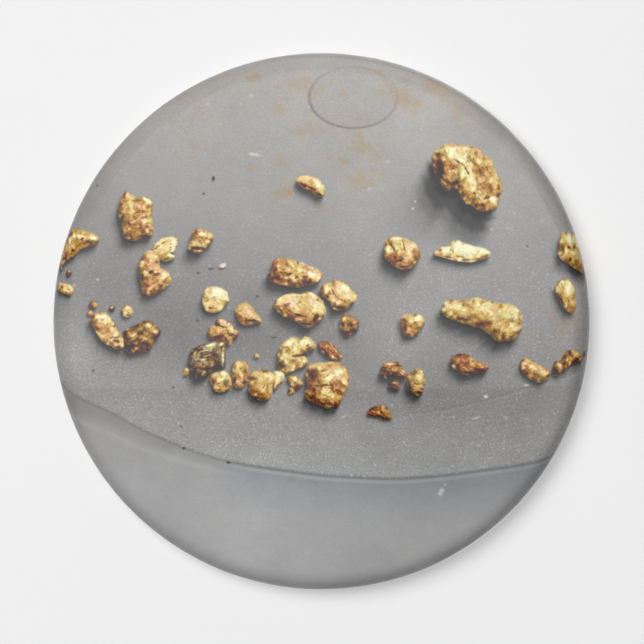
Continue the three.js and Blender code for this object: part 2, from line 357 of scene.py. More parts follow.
        "edge": [(-5.6, 4.7), (-5.65, 5.0), (-5.2, 5.4), (-5.15, 6.0), (-5.0, 6.4), (-4.6, 6.6),
                 (-3.5, 6.55), (-2.8, 6.4), (-2.0, 6.15), (-1.2, 5.75), (-0.5, 5.5), (0.0, 5.15),
                 (0.1, 4.8), (-0.1, 4.35), (-0.6, 4.05), (-1.5, 3.8), (-2.5, 3.6), (-3.3, 3.65),
                 (-4.0, 3.85), (-5.0, 4.0), (-5.4, 4.3)],
        "look": (0.56, 0.35, 1.0),
        "marks": [(-4.3, 6.2, 1.3, 0.5, 5, 0.42, 0.7), (-3.15, 6.0, 0.8, 0.3, -60, 0.88, 0.1),
                  (-2.5, 5.2, 0.9, 0.5, -15, 0.62, 0.1), (-1.5, 5.5, 1.4, 0.25, -22, 0.48, 0.7),
                  (-1.5, 5.9, 2.0, 0.25, -22, 0.92, 0), (-0.8, 4.75, 1.3, 0.8, -15, 0.99, 0),
                  (-4.4, 4.9, 2.0, 1.0, 10, 0.36, 0.3), (-4.5, 5.3, 0.25, 0.18, 0, 0.78, 1.0),
                  (-3.75, 5.3, 0.3, 0.18, 20, 0.74, 1.0), (-3.7, 4.5, 0.3, 0.18, 0, 0.76, 1.0),
                  (-4.3, 4.6, 0.22, 0.16, 0, 0.78, 0.9), (-3.3, 5.0, 0.7, 0.4, 30, 0.2, 1.1),
                  (-2.0, 4.1, 1.3, 0.35, 5, 0.5, -0.1), (-2.6, 4.6, 0.6, 0.25, 30, 0.3, 0.8),
                  (-1.7, 4.8, 0.5, 0.25, 0, 0.72, 0.4), (-5.2, 4.9, 0.3, 0.3, 0, 0.5, 0.3)],
    },
    "broadOval": {
        "edge": [(-5.0, 1.75), (-4.7, 2.3), (-4.3, 2.6), (-3.6, 2.8), (-3.0, 2.9), (-2.2, 2.9),
                 (-1.6, 3.0), (-1.2, 3.05), (-0.8, 2.95), (-0.4, 2.6), (-0.05, 2.3), (0.2, 2.0),
                 (0.3, 1.6), (0.4, 1.3), (0.35, 0.7), (0.0, 0.3), (-0.5, -0.1), (-1.0, -0.5),
                 (-1.5, -0.65), (-2.0, -0.5), (-2.5, -0.1), (-3.0, 0.15), (-3.8, 0.5), (-4.4, 0.9),
                 (-4.8, 1.3)],
        "look": (0.62, 0.4, 0.9),
        "marks": [(-4.5, 2.2, 1.2, 0.22, 45, 0.9, 0.1), (-2.6, 2.75, 2.6, 0.2, 2, 0.84, 0.2),
                  (-0.9, 2.7, 0.9, 0.25, -40, 0.92, 0), (-3.7, 1.75, 1.1, 0.5, 20, 0.36, 0.6),
                  (-1.0, 2.0, 1.1, 0.6, -20, 0.7, 0.9), (-2.5, 0.7, 2.0, 0.16, -15, 0.28, 0.6),
                  (-0.4, 2.25, 0.3, 0.2, -30, 0.16, 0.5), (-0.5, 0.35, 0.9, 0.5, 50, 0.32, 1.0),
                  (-1.5, -0.3, 1.2, 0.25, -5, 0.22, 0.6), (-2.6, 1.8, 0.7, 0.4, 10, 0.76, 0.4),
                  (-1.8, 1.2, 0.9, 0.35, -25, 0.72, 0.5), (-3.3, 1.05, 0.9, 0.3, -25, 0.5, 0.4),
                  (-4.3, 1.2, 0.6, 0.3, -35, 0.5, 0.3), (0.05, 1.2, 0.3, 0.7, 10, 0.8, 0.3)],
    },
    "creamKnob": {
        "edge": [(-0.05, 3.6), (0.3, 3.95), (0.9, 4.1), (1.4, 4.35), (1.9, 4.3), (2.4, 4.0), (2.9, 3.6),
                 (3.3, 3.2), (3.65, 2.8), (3.65, 2.4), (3.4, 2.0), (3.0, 1.7), (2.6, 1.35), (2.0, 1.2),
                 (1.4, 1.25), (1.1, 1.6), (0.9, 2.1), (0.5, 2.4), (0.1, 2.7), (-0.1, 3.1)],
        "look": (0.62, 0.25, 0.8),
        "marks": [(2.5, 3.5, 0.9, 0.5, -40, 0.88, 0), (0.5, 3.3, 0.7, 0.5, 30, 0.84, 0.2),
                  (3.45, 2.6, 0.4, 0.4, 0, 0.9, 0), (1.3, 3.0, 1.1, 0.16, -58, 0.22, 0.6),
                  (2.2, 2.2, 1.3, 0.15, -22, 0.24, 0.6), (1.9, 1.9, 1.0, 0.22, -12, 0.88, 0.1),
                  (1.8, 1.45, 1.1, 0.25, -5, 0.2, 0.6), (1.9, 3.9, 0.9, 0.25, -15, 0.7, 0.1),
                  (2.2, 2.9, 0.7, 0.4, -30, 0.6, 0.5), (0.6, 2.6, 0.5, 0.25, -35, 0.34, 0.6),
                  (1.0, 3.8, 0.6, 0.2, 15, 0.5, 0.5)],
    },
    "ringStone": {
        "edge": [(2.05, 0.3), (2.3, 0.65), (2.6, 0.8), (2.9, 0.65), (3.1, 0.5), (3.4, 0.5), (3.7, 0.2),
                 (3.9, -0.1), (3.9, -0.7), (3.7, -1.1), (3.3, -1.2), (3.0, -1.5), (2.6, -1.5),
                 (2.3, -1.2), (2.1, -0.9), (2.0, -0.4)],
        "look": (0.42, 0.45, 0.5),
        "marks": [(2.4, 0.3, 0.5, 0.5, 0, 0.66, 0), (2.4, -0.7, 0.4, 0.6, 0, 0.62, 0.1),
                  (3.1, -0.4, 0.5, 0.45, 0, 0.28, -1.0), (3.3, -0.95, 0.5, 0.25, 20, 0.4, -0.4),
                  (3.6, 0.0, 0.3, 0.5, 0, 0.46, 0.7), (2.75, -0.4, 0.2, 0.7, 0, 0.16, 0.5),
                  (2.7, -1.2, 0.5, 0.2, 0, 0.22, 0.5)],
    },
    "archedGold": {
        "edge": [(-4.5, -3.0), (-4.2, -2.5), (-3.9, -2.1), (-3.4, -1.8), (-2.9, -1.65), (-2.5, -1.75),
                 (-2.2, -1.85), (-1.9, -1.7), (-1.5, -1.65), (-1.1, -1.85), (-0.8, -2.2), (-0.6, -2.6),
                 (-0.75, -2.9), (-1.1, -3.1), (-1.5, -3.4), (-1.9, -3.55), (-1.6, -3.9), (-1.4, -4.2),
                 (-1.5, -4.5), (-1.9, -4.75), (-2.4, -4.9), (-3.0, -5.2), (-3.7, -5.5), (-4.3, -5.2),
                 (-4.65, -5.1), (-4.65, -4.5), (-4.6, -3.8)],
        "look": (0.62, 0.05, 0.6),
        "marks": [(-3.4, -2.3, 1.3, 0.6, 30, 0.92, 0), (-1.6, -2.2, 1.2, 0.6, -5, 0.88, 0),
                  (-2.5, -2.2, 0.3, 0.3, 0, 0.42, -0.3), (-1.4, -2.5, 0.4, 0.2, 20, 0.42, -0.3),
                  (-4.3, -3.3, 0.3, 1.0, -15, 0.56, 0.1), (-2.4, -3.6, 1.3, 0.25, 5, 0.1, 0.3),
                  (-4.2, -4.5, 0.9, 0.6, 80, 0.3, 0.4), (-1.8, -4.4, 0.5, 0.35, 0, 0.86, 0.1),
                  (-2.8, -5.05, 1.5, 0.2, 14, 0.84, 0.1), (-3.1, -4.2, 0.9, 0.35, 25, 0.5, 0.3),
                  (-2.6, -2.9, 1.6, 0.3, 10, 0.72, 0.1), (-3.6, -3.1, 0.8, 0.2, 40, 0.45, 0.3)],
    },
    "speckledBrown": {
        "edge": [(-0.3, -2.3), (0.0, -2.1), (0.4, -2.1), (0.9, -2.2), (1.3, -2.6), (1.6, -3.0),
                 (1.9, -3.3), (2.2, -3.7), (2.0, -3.95), (1.6, -4.0), (1.2, -4.0), (0.7, -3.8),
                 (0.3, -3.5), (0.0, -3.2), (-0.3, -2.8)],
        "look": (0.38, 0.6, 0.4),
        "marks": [(1.2, -3.75, 0.25, 0.18, 0, 0.9, 0.1), (1.5, -3.1, 0.9, 0.2, -48, 0.68, 1.0),
                  (0.3, -3.1, 0.9, 0.3, -45, 0.15, 0.4), (0.6, -2.6, 0.3, 0.2, 0, 0.6, 0.4)],
    },
    "bigWithStripe": {
        "edge": [(-1.4, -4.8), (-1.0, -4.5), (-0.4, -4.4), (0.2, -4.4), (0.8, -4.3), (1.4, -4.3),
                 (1.9, -4.4), (2.3, -4.7), (2.7, -5.1), (2.9, -5.7), (2.85, -6.3), (2.7, -6.9),
                 (2.5, -7.3), (2.2, -7.9), (2.0, -8.5), (1.8, -8.9), (1.3, -9.0), (0.7, -9.1),
                 (0.1, -8.9), (-0.6, -8.6), (-1.2, -8.3), (-1.6, -7.9), (-1.7, -7.4), (-1.3, -7.1),
                 (-1.4, -6.7), (-1.6, -6.2), (-1.6, -5.5)],
        "look": (0.56, 0.35, 0.9),
        "marks": [(-0.7, -5.6, 1.2, 1.0, 70, 0.42, 0.5), (1.0, -4.65, 1.3, 0.4, 5, 0.5, 0.7),
                  (1.15, -5.75, 2.1, 0.5, 33, 0.95, 0), (2.4, -6.4, 0.6, 0.9, 10, 0.84, 0.1),
                  (1.6, -6.6, 0.6, 0.5, 0, 0.44, 0.6), (1.6, -7.5, 0.8, 0.7, 60, 0.46, 0.6),
                  (0.4, -7.3, 0.8, 0.6, 0, 0.84, 0.2), (-0.2, -8.0, 0.8, 0.5, -20, 0.82, 0.3),
                  (0.0, -6.75, 1.5, 0.22, 3, 0.1, 0.5), (0.9, -8.7, 1.5, 0.3, -5, 0.22, 0.6),
                  (-0.9, -7.5, 0.8, 0.5, 20, 0.6, 0.5), (-1.2, -8.0, 0.6, 0.2, -40, 0.28, 0.5),
                  (0.2, -5.2, 0.8, 0.3, 20, 0.35, 0.7), (1.1, -7.0, 0.3, 1.1, 20, 0.28, 0.6)],
    },
    "goldScoop": {
        "edge": [(-3.6, -6.0), (-3.0, -5.65), (-2.6, -5.8), (-2.2, -6.2), (-1.9, -6.6), (-2.1, -6.9),
                 (-2.6, -7.1), (-3.1, -6.8), (-3.4, -6.4)],
        "look": (0.56, 0.3, 0.4),
        "marks": [(-2.9, -6.0, 0.8, 0.35, -30, 0.74, 0), (-2.6, -6.6, 0.8, 0.3, -30, 0.42, 1.0)],
    },
    "ringCrumb": {
        "edge": [(-3.5, -7.2), (-3.2, -6.98), (-2.9, -7.15), (-2.9, -7.5), (-3.2, -7.65), (-3.5, -7.5)],
        "look": (0.55, 0.2, 0.2), "marks": [(-3.2, -7.3, 0.25, 0.2, 0, 0.18, 0.2)],
    },
    "lowWedge": {
        "edge": [(4.8, -9.8), (4.9, -9.4), (5.3, -9.1), (5.8, -8.9), (6.3, -8.85), (6.8, -9.0),
                 (7.1, -9.4), (7.3, -9.9), (7.4, -10.2), (7.0, -10.35), (6.5, -10.3), (6.0, -10.1),
                 (5.4, -10.0)],
        "look": (0.44, 0.6, 0.25),
        "marks": [(6.9, -9.8, 0.5, 0.6, 0, 0.42, -0.2), (5.9, -9.5, 0.4, 0.25, 0, 0.62, 0.5),
                  (6.3, -10.1, 0.9, 0.15, -5, 0.18, 0.5), (5.3, -9.6, 0.3, 0.2, 0, 0.24, 0.5)],
    },
    "trioLeft": {
        "edge": [(6.3, -4.8), (6.6, -4.5), (7.0, -4.3), (7.6, -4.3), (8.1, -4.3), (8.4, -4.6),
                 (8.45, -4.9), (8.8, -5.2), (9.0, -5.6), (8.9, -5.95), (8.3, -6.0), (7.6, -6.1),
                 (6.9, -6.0), (6.3, -5.8), (6.1, -5.4)],
        "look": (0.42, 0.25, 0.7),
        "marks": [(7.5, -4.5, 1.3, 0.3, 0, 0.8, 0.2), (6.9, -4.9, 1.0, 0.14, -8, 0.2, 0.5),
                  (6.8, -5.25, 0.9, 0.4, 5, 0.34, -0.7), (7.6, -5.85, 2.3, 0.3, -2, 0.1, 0.3),
                  (8.6, -5.25, 0.6, 0.12, -45, 0.88, 0.8), (8.4, -5.45, 0.5, 0.1, -45, 0.84, 0.8),
                  (7.7, -5.1, 0.6, 0.4, 0, 0.5, 0.4)],
    },
    "trioCrumb": {
        "edge": [(7.0, -6.5), (7.4, -6.3), (7.9, -6.3), (8.2, -6.6), (8.3, -7.0), (8.0, -7.25),
                 (7.5, -7.2), (7.1, -7.0)],
        "look": (0.32, 0.5, 0.4), "marks": [(7.6, -6.5, 0.5, 0.2, 0, 0.55, 0.4)],
    },
    "trioRight": {
        "edge": [(9.0, -5.8), (9.3, -5.4), (9.7, -5.2), (10.0, -5.0), (10.5, -5.1), (10.8, -5.6),
                 (10.9, -6.2), (10.8, -6.8), (10.7, -7.2), (10.6, -7.6), (10.1, -7.75), (9.6, -7.5),
                 (9.2, -7.0), (9.0, -6.4)],
        "look": (0.56, 0.1, 0.9),
        "marks": [(9.6, -5.55, 0.6, 0.4, 20, 0.42, -0.4), (10.2, -6.0, 0.6, 0.8, 0, 0.74, 0),
                  (9.25, -6.7, 0.3, 0.7, 0, 0.16, 0.9), (10.3, -7.5, 0.6, 0.25, 0, 0.18, 0.9),
                  (9.8, -6.6, 0.5, 0.25, 40, 0.36, 0.6), (10.3, -6.9, 0.5, 0.4, 20, 0.58, 0.2)],
    },
    "smallCream": {
        "edge": [(8.4, 0.2), (8.6, 0.6), (9.2, 0.7), (9.7, 0.8), (10.1, 0.85), (10.5, 0.6), (10.8, 0.2),
                 (10.8, -0.3), (10.5, -0.8), (10.2, -1.2), (9.7, -1.5), (9.1, -1.65), (8.7, -1.4),
                 (8.5, -0.9), (8.4, -0.3)],
        "look": (0.62, 0.2, 0.6),
        "marks": [(10.2, 0.3, 0.7, 0.6, -30, 0.96, 0), (9.0, 0.2, 0.7, 0.6, 0, 0.48, 0.4),
                  (9.8, -0.2, 0.4, 0.3, 0, 0.44, -0.3), (10.2, -0.6, 0.5, 0.4, 0, 0.66, 0),
                  (9.6, -1.1, 0.8, 0.4, 25, 0.74, 0.5), (8.8, -0.8, 0.3, 0.9, 0, 0.4, 0.4),
                  (9.4, -0.5, 0.3, 0.2, 0, 0.3, 0.5)],
    },
    "veinedRound": {
        "edge": [(6.6, 7.0), (6.6, 7.7), (6.8, 8.4), (7.2, 8.8), (7.8, 8.9), (8.4, 8.8), (9.0, 8.6),
                 (9.6, 8.35), (10.0, 8.0), (10.3, 7.4), (10.4, 6.9), (10.2, 6.4), (9.8, 6.0), (9.3, 5.6),
                 (8.8, 5.4), (8.2, 5.6), (7.6, 5.9), (7.1, 6.3), (6.7, 6.7)],
        "look": (0.58, 0.35, 1.1),
        "marks": [(7.15, 7.4, 0.6, 0.9, 0, 0.84, 0.1), (8.0, 8.7, 1.2, 0.22, 0, 0.88, 0.1),
                  (7.4, 7.9, 1.5, 0.18, -56, 0.22, 0.5), (8.65, 8.05, 1.2, 0.18, -75, 0.24, 0.5),
                  (8.2, 6.4, 0.8, 0.2, 20, 0.2, 0.6), (9.7, 7.2, 0.6, 1.0, 0, 0.5, 0.6),
                  (9.3, 7.25, 0.4, 0.35, 0, 0.93, -0.3), (8.2, 7.3, 0.6, 0.4, 0, 0.72, 0.3),
                  (8.8, 5.75, 1.4, 0.25, 10, 0.24, 0.6), (7.7, 6.6, 0.5, 0.3, 30, 0.5, 0.5),
                  (9.3, 6.4, 0.6, 0.3, 35, 0.66, 0.3)],
    },
    "paleBoat": {
        "edge": [(11.85, 7.2), (12.1, 7.5), (12.6, 7.8), (13.2, 7.85), (13.6, 8.2), (14.0, 8.5),
                 (14.5, 8.45), (15.1, 8.2), (15.9, 7.95), (16.7, 7.8), (17.3, 7.6), (17.75, 7.3),
                 (17.7, 6.9), (17.2, 6.6), (16.4, 6.4), (15.6, 6.25), (14.7, 6.3), (13.8, 6.5),
                 (12.9, 6.7), (12.1, 6.9)],
        "look": (0.86, 0.05, 0.6),
        "marks": [(12.5, 7.5, 0.5, 0.25, 10, 0.4, -0.1), (13.7, 7.45, 0.6, 0.12, -50, 0.25, 0.4),
                  (14.4, 6.8, 0.9, 0.22, -5, 0.4, 0.4), (15.6, 7.5, 1.9, 0.5, -12, 0.98, 0),
                  (17.2, 6.85, 0.8, 0.2, 15, 0.6, 0.1), (13.3, 6.75, 1.5, 0.16, -10, 0.5, 0.1),
                  (15.8, 6.5, 2.2, 0.2, 3, 0.48, 0.3), (16.6, 7.3, 0.6, 0.25, -10, 0.7, 0.1)],
    },
    "longRight": {
        "edge": [(12.6, 1.3), (12.9, 1.9), (13.4, 2.2), (14.0, 2.3), (14.8, 2.15), (15.5, 2.4),
                 (16.2, 2.5), (17.0, 2.35), (17.8, 2.1), (18.6, 1.9), (19.5, 1.9), (20.3, 1.6),
                 (20.9, 1.1), (21.15, 0.4), (21.05, -0.3), (21.1, -0.7), (20.8, -1.3), (20.2, -1.9),
                 (19.5, -2.0), (18.6, -2.1), (18.1, -1.7), (17.4, -1.2), (16.8, -0.7), (16.0, -0.5),
                 (15.2, -0.25), (14.4, 0.05), (13.6, 0.3), (12.9, 0.7)],
        "look": (0.64, 0.0, 1.2),
        "marks": [(16.9, 0.2, 2.0, 1.7, -30, 0.44, 0.1), (14.9, 1.7, 0.4, 0.2, 0, 0.36, 0.3),
                  (19.0, 1.5, 0.3, 0.18, 0, 0.36, 0.4), (16.2, 0.5, 0.9, 0.5, -20, 0.44, 0.3),
                  (17.5, 0.8, 0.5, 0.35, -20, 0.4, 0.4), (17.8, -0.2, 0.6, 0.35, -30, 0.38, 0.4),
                  (18.3, -1.0, 0.6, 0.4, -30, 0.36, 0.5), (19.5, 0.6, 1.1, 0.6, -20, 0.86, 0.1),
                  (20.2, -0.5, 0.8, 0.8, 60, 0.86, 0.1), (20.0, 1.2, 0.8, 0.35, -25, 0.74, 0.6),
                  (20.5, 0.4, 0.4, 0.6, 0, 0.74, 0.6), (19.0, -1.4, 1.0, 0.5, -10, 0.52, 0.2),
                  (14.2, 1.0, 1.6, 0.7, 15, 0.68, 0), (16.4, 1.8, 1.9, 0.4, -5, 0.74, 0),
                  (15.0, 0.2, 2.0, 0.3, -14, 0.46, 0.3), (18.7, 0.2, 0.6, 0.3, -40, 0.52, 0.4),
                  (20.3, -1.5, 0.8, 0.3, 30, 0.5, 0.4)],
    },
    "rightEdge": {
        "edge": [(25.15, 8.7), (25.4, 9.3), (26.0, 9.5), (26.6, 9.35), (27.1, 9.4), (30.5, 9.2),
                 (30.5, 5.4), (28.1, 5.4), (27.8, 5.2), (27.2, 5.4), (26.7, 5.7), (26.1, 6.1),
                 (25.6, 6.4), (25.2, 6.7), (25.0, 7.2), (25.1, 8.0)],
        "look": (0.66, 0.15, 0.9),
        "marks": [(26.4, 8.9, 1.6, 0.5, 0, 0.84, -0.2), (26.2, 7.8, 0.4, 0.35, 0, 0.2, 0.3),
                  (26.85, 7.9, 0.35, 0.5, 0, 0.22, 0.4), (26.3, 6.6, 0.4, 0.3, 0, 0.24, 0.4),
                  (27.6, 6.0, 1.0, 0.6, 10, 0.6, 0.4), (25.5, 7.6, 0.4, 1.0, 0, 0.6, 0.1),
                  (26.6, 7.2, 0.7, 0.35, 20, 0.8, 0.1), (27.4, 8.2, 0.5, 0.9, 0, 0.72, 0.1)],
    },
    "rightBean": {
        "edge": [(24.65, 3.6), (24.9, 4.1), (25.4, 4.4), (25.8, 4.5), (26.3, 4.2), (26.6, 3.6),
                 (26.75, 2.8), (26.9, 2.0), (26.8, 1.4), (26.5, 1.0), (26.1, 1.0), (25.7, 1.4),
                 (25.3, 1.9), (25.0, 2.5), (24.8, 3.0)],
        "look": (0.66, 0.25, 0.7),
        "marks": [(25.3, 4.05, 0.8, 0.4, 20, 0.9, 0), (25.45, 3.65, 0.8, 0.12, -65, 0.2, 0.5),
                  (26.2, 2.4, 0.5, 0.9, -10, 0.5, 0.6), (25.4, 2.0, 1.3, 0.25, -55, 0.25, 0.5),
                  (26.1, 3.4, 0.5, 0.6, 0, 0.78, 0.2), (26.4, 1.5, 0.4, 0.5, 0, 0.66, 0.3)],
    },
    "lowRightGold": {
        "edge": [(20.95, -4.4), (21.2, -4.0), (21.6, -3.9), (22.2, -4.2), (22.8, -4.5), (23.3, -4.8),
                 (23.8, -5.1), (24.1, -5.4), (24.1, -5.8), (23.7, -6.1), (23.2, -6.4), (22.6, -6.3),
                 (22.0, -6.0), (21.4, -5.5), (21.0, -5.0)],
        "look": (0.56, 0.3, 0.5),
        "marks": [(22.4, -4.9, 1.0, 0.35, -28, 0.84, 0.1), (21.5, -4.7, 0.4, 0.25, 0, 0.32, 0.5),
                  (22.5, -5.6, 0.7, 0.25, -25, 0.3, 0.5), (23.4, -5.5, 0.6, 0.4, -30, 0.66, 0.3),
                  (22.3, -6.05, 1.3, 0.15, -22, 0.24, 0.5)],
    },
    "lowRightBrown": {
        "edge": [(24.3, -5.3), (24.5, -4.6), (24.7, -4.2), (25.2, -4.3), (25.5, -4.8), (25.4, -5.3),
                 (25.0, -5.7), (24.5, -5.6)],
        "look": (0.4, 0.5, 0.4),
        "marks": [(25.1, -4.6, 0.4, 0.4, 0, 0.74, 0.3), (24.7, -5.2, 0.4, 0.3, 0, 0.22, 0.5)],
    },
    "lowRightRust": {
        "edge": [(25.3, -4.2), (25.6, -3.5), (26.0, -3.1), (26.5, -3.0), (27.0, -3.2), (27.4, -3.6),
                 (27.8, -3.9), (27.5, -4.2), (27.0, -4.2), (26.5, -4.4), (26.1, -4.8), (25.8, -5.1),
                 (25.5, -5.0)],
        "look": (0.44, 0.65, 0.7),
        "marks": [(26.3, -3.35, 0.4, 0.25, 0, 0.2, 0.5), (27.4, -3.8, 0.3, 0.2, 0, 0.2, 0.5),
                  (26.8, -3.6, 0.4, 0.25, 0, 0.64, 0.6), (25.7, -4.4, 0.3, 0.4, 0, 0.25, 0.6)],
    },
    "edgeCrumb": {
        "edge": [(27.9, -3.3), (28.15, -3.2), (28.35, -3.4), (28.2, -3.65), (27.95, -3.6)],
        "look": (0.45, 0.5, 0.2), "marks": [],
    },
    "tanWedge": {
        "edge": [(13.6, -4.0), (13.9, -3.6), (14.5, -3.4), (15.1, -3.4), (15.7, -3.7), (16.2, -4.1),
                 (16.8, -4.4), (17.4, -4.6), (17.6, -4.9), (17.2, -5.3), (16.6, -5.45), (15.9, -5.5),
                 (15.3, -5.7), (14.7, -5.5), (14.2, -5.1), (13.8, -4.8)],
        "look": (0.46, 0.5, 0.8),
        "marks": [(14.2, -4.1, 0.6, 0.5, 0, 0.62, 0.8), (15.1, -3.7, 0.5, 0.2, -10, 0.28, 0.6),
                  (15.3, -4.4, 0.6, 0.25, -20, 0.28, 0.6), (14.2, -4.65, 0.4, 0.25, 0, 0.26, 0.6),
                  (16.6, -4.8, 0.9, 0.4, -15, 0.5, 0.7), (15.3, -5.4, 1.8, 0.18, -5, 0.2, 0.6),
                  (15.7, -4.9, 0.4, 0.2, 0, 0.62, 0.5)],
    },
    "bigBoulder": {
        "edge": [(11.75, 17.5), (12.0, 17.9), (12.5, 18.2), (12.8, 18.5), (13.5, 18.75), (14.5, 18.6),
                 (15.5, 18.45), (16.2, 18.4), (16.6, 18.15), (16.9, 17.85), (17.2, 17.4), (17.9, 17.1),
                 (18.2, 16.5), (18.3, 16.0), (18.6, 15.4), (18.95, 14.9), (19.1, 14.3), (19.0, 13.7),
                 (18.7, 13.2), (18.65, 12.7), (18.5, 12.0), (18.0, 11.75), (17.4, 11.65), (16.8, 11.65),
                 (16.3, 11.9), (15.8, 12.3), (15.3, 12.4), (15.0, 12.8), (14.7, 13.2), (14.5, 13.8),
                 (14.3, 14.0), (13.8, 14.1), (13.2, 13.8), (12.8, 14.3), (12.4, 15.0), (12.0, 15.6),
                 (11.8, 16.1), (11.75, 16.8)],
        "look": (0.56, 0.2, 2.8),
        "marks": [(13.9, 17.6, 1.9, 0.9, -35, 0.82, 0), (15.3, 16.1, 2.8, 1.3, -62, 0.82, 0),
                  (15.6, 13.9, 2.4, 1.2, -60, 0.8, 0), (18.0, 12.5, 1.3, 1.3, 0, 0.76, 0.1),
                  (17.4, 15.4, 1.6, 3.2, 15, 0.52, 0.2), (12.6, 16.2, 3.0, 0.9, 78, 0.26, 0.2),
                  (12.3, 17.5, 0.5, 0.5, 0, 0.22, -0.4), (12.6, 15.7, 0.6, 0.8, 0, 0.2, -0.4),
                  (12.9, 17.1, 0.5, 0.4, 0, 0.66, 0), (13.6, 15.5, 0.7, 0.5, 50, 0.66, 1.0),
                  (13.6, 18.1, 1.3, 0.35, -20, 0.9, 0.1), (14.9, 18.2, 1.3, 0.3, -5, 0.78, 0.2),
                  (14.5, 16.75, 1.3, 0.2, -32, 0.16, 0.5), (15.3, 15.9, 1.1, 0.2, -58, 0.18, 0.5),
                  (15.0, 15.3, 0.8, 0.6, 40, 0.98, 0), (15.6, 16.4, 1.1, 0.5, -70, 0.88, 0.1),
                  (15.9, 14.8, 1.4, 0.45, -75, 0.86, 0.1), (14.3, 17.4, 0.9, 0.35, -10, 0.74, 0.2),
                  (17.5, 16.0, 0.9, 1.1, 20, 0.5, 0.6), (18.7, 14.2, 0.3, 0.9, 0, 0.32, 0.6),
                  (17.1, 17.2, 0.5, 0.3, -40, 0.32, 0.6), (16.1, 13.5, 0.5, 0.4, 20, 0.22, 0.6),
                  (17.4, 13.0, 0.6, 0.35, 20, 0.22, 0.6), (18.1, 12.7, 0.5, 0.6, 0, 0.86, 0.1),
                  (15.4, 13.1, 0.8, 0.5, 50, 0.74, -0.3), (16.7, 12.2, 1.0, 0.35, 0, 0.26, 1.0),
                  (14.2, 14.6, 0.9, 0.4, 10, 0.34, 0.5), (16.8, 14.9, 0.6, 0.5, 0, 0.72, 0.3),
                  (17.9, 14.9, 0.5, 0.4, 30, 0.66, 0.3), (17.0, 14.0, 0.7, 0.3, 20, 0.4, 0.6),
                  (16.6, 16.9, 0.5, 0.6, 0, 0.8, 0.1), (13.8, 16.1, 0.5, 0.35, 0, 0.34, 0.5),
                  (13.3, 14.6, 0.5, 0.4, 0, 0.42, 0.6)],
    },
    "loneBean": {
        "edge": [(-2.6, 14.9), (-2.3, 15.2), (-1.7, 15.35), (-1.1, 15.25), (-0.6, 15.15), (-0.2, 14.9),
                 (0.1, 14.5), (0.35, 14.1), (0.3, 13.5), (0.25, 13.2), (-0.1, 13.1), (-0.6, 13.3),
                 (-1.1, 13.7), (-1.7, 13.9), (-2.3, 14.3)],
        "look": (0.68, 0.4, 0.7),
        "marks": [(-1.9, 14.9, 0.9, 0.4, 10, 0.7, 0.8), (-0.4, 14.5, 0.9, 0.6, -45, 0.9, 0.1),
                  (-1.4, 14.15, 1.9, 0.2, -22, 0.2, 0.5), (-0.3, 13.35, 0.8, 0.25, -10, 0.16, 0.4)],
    },
}

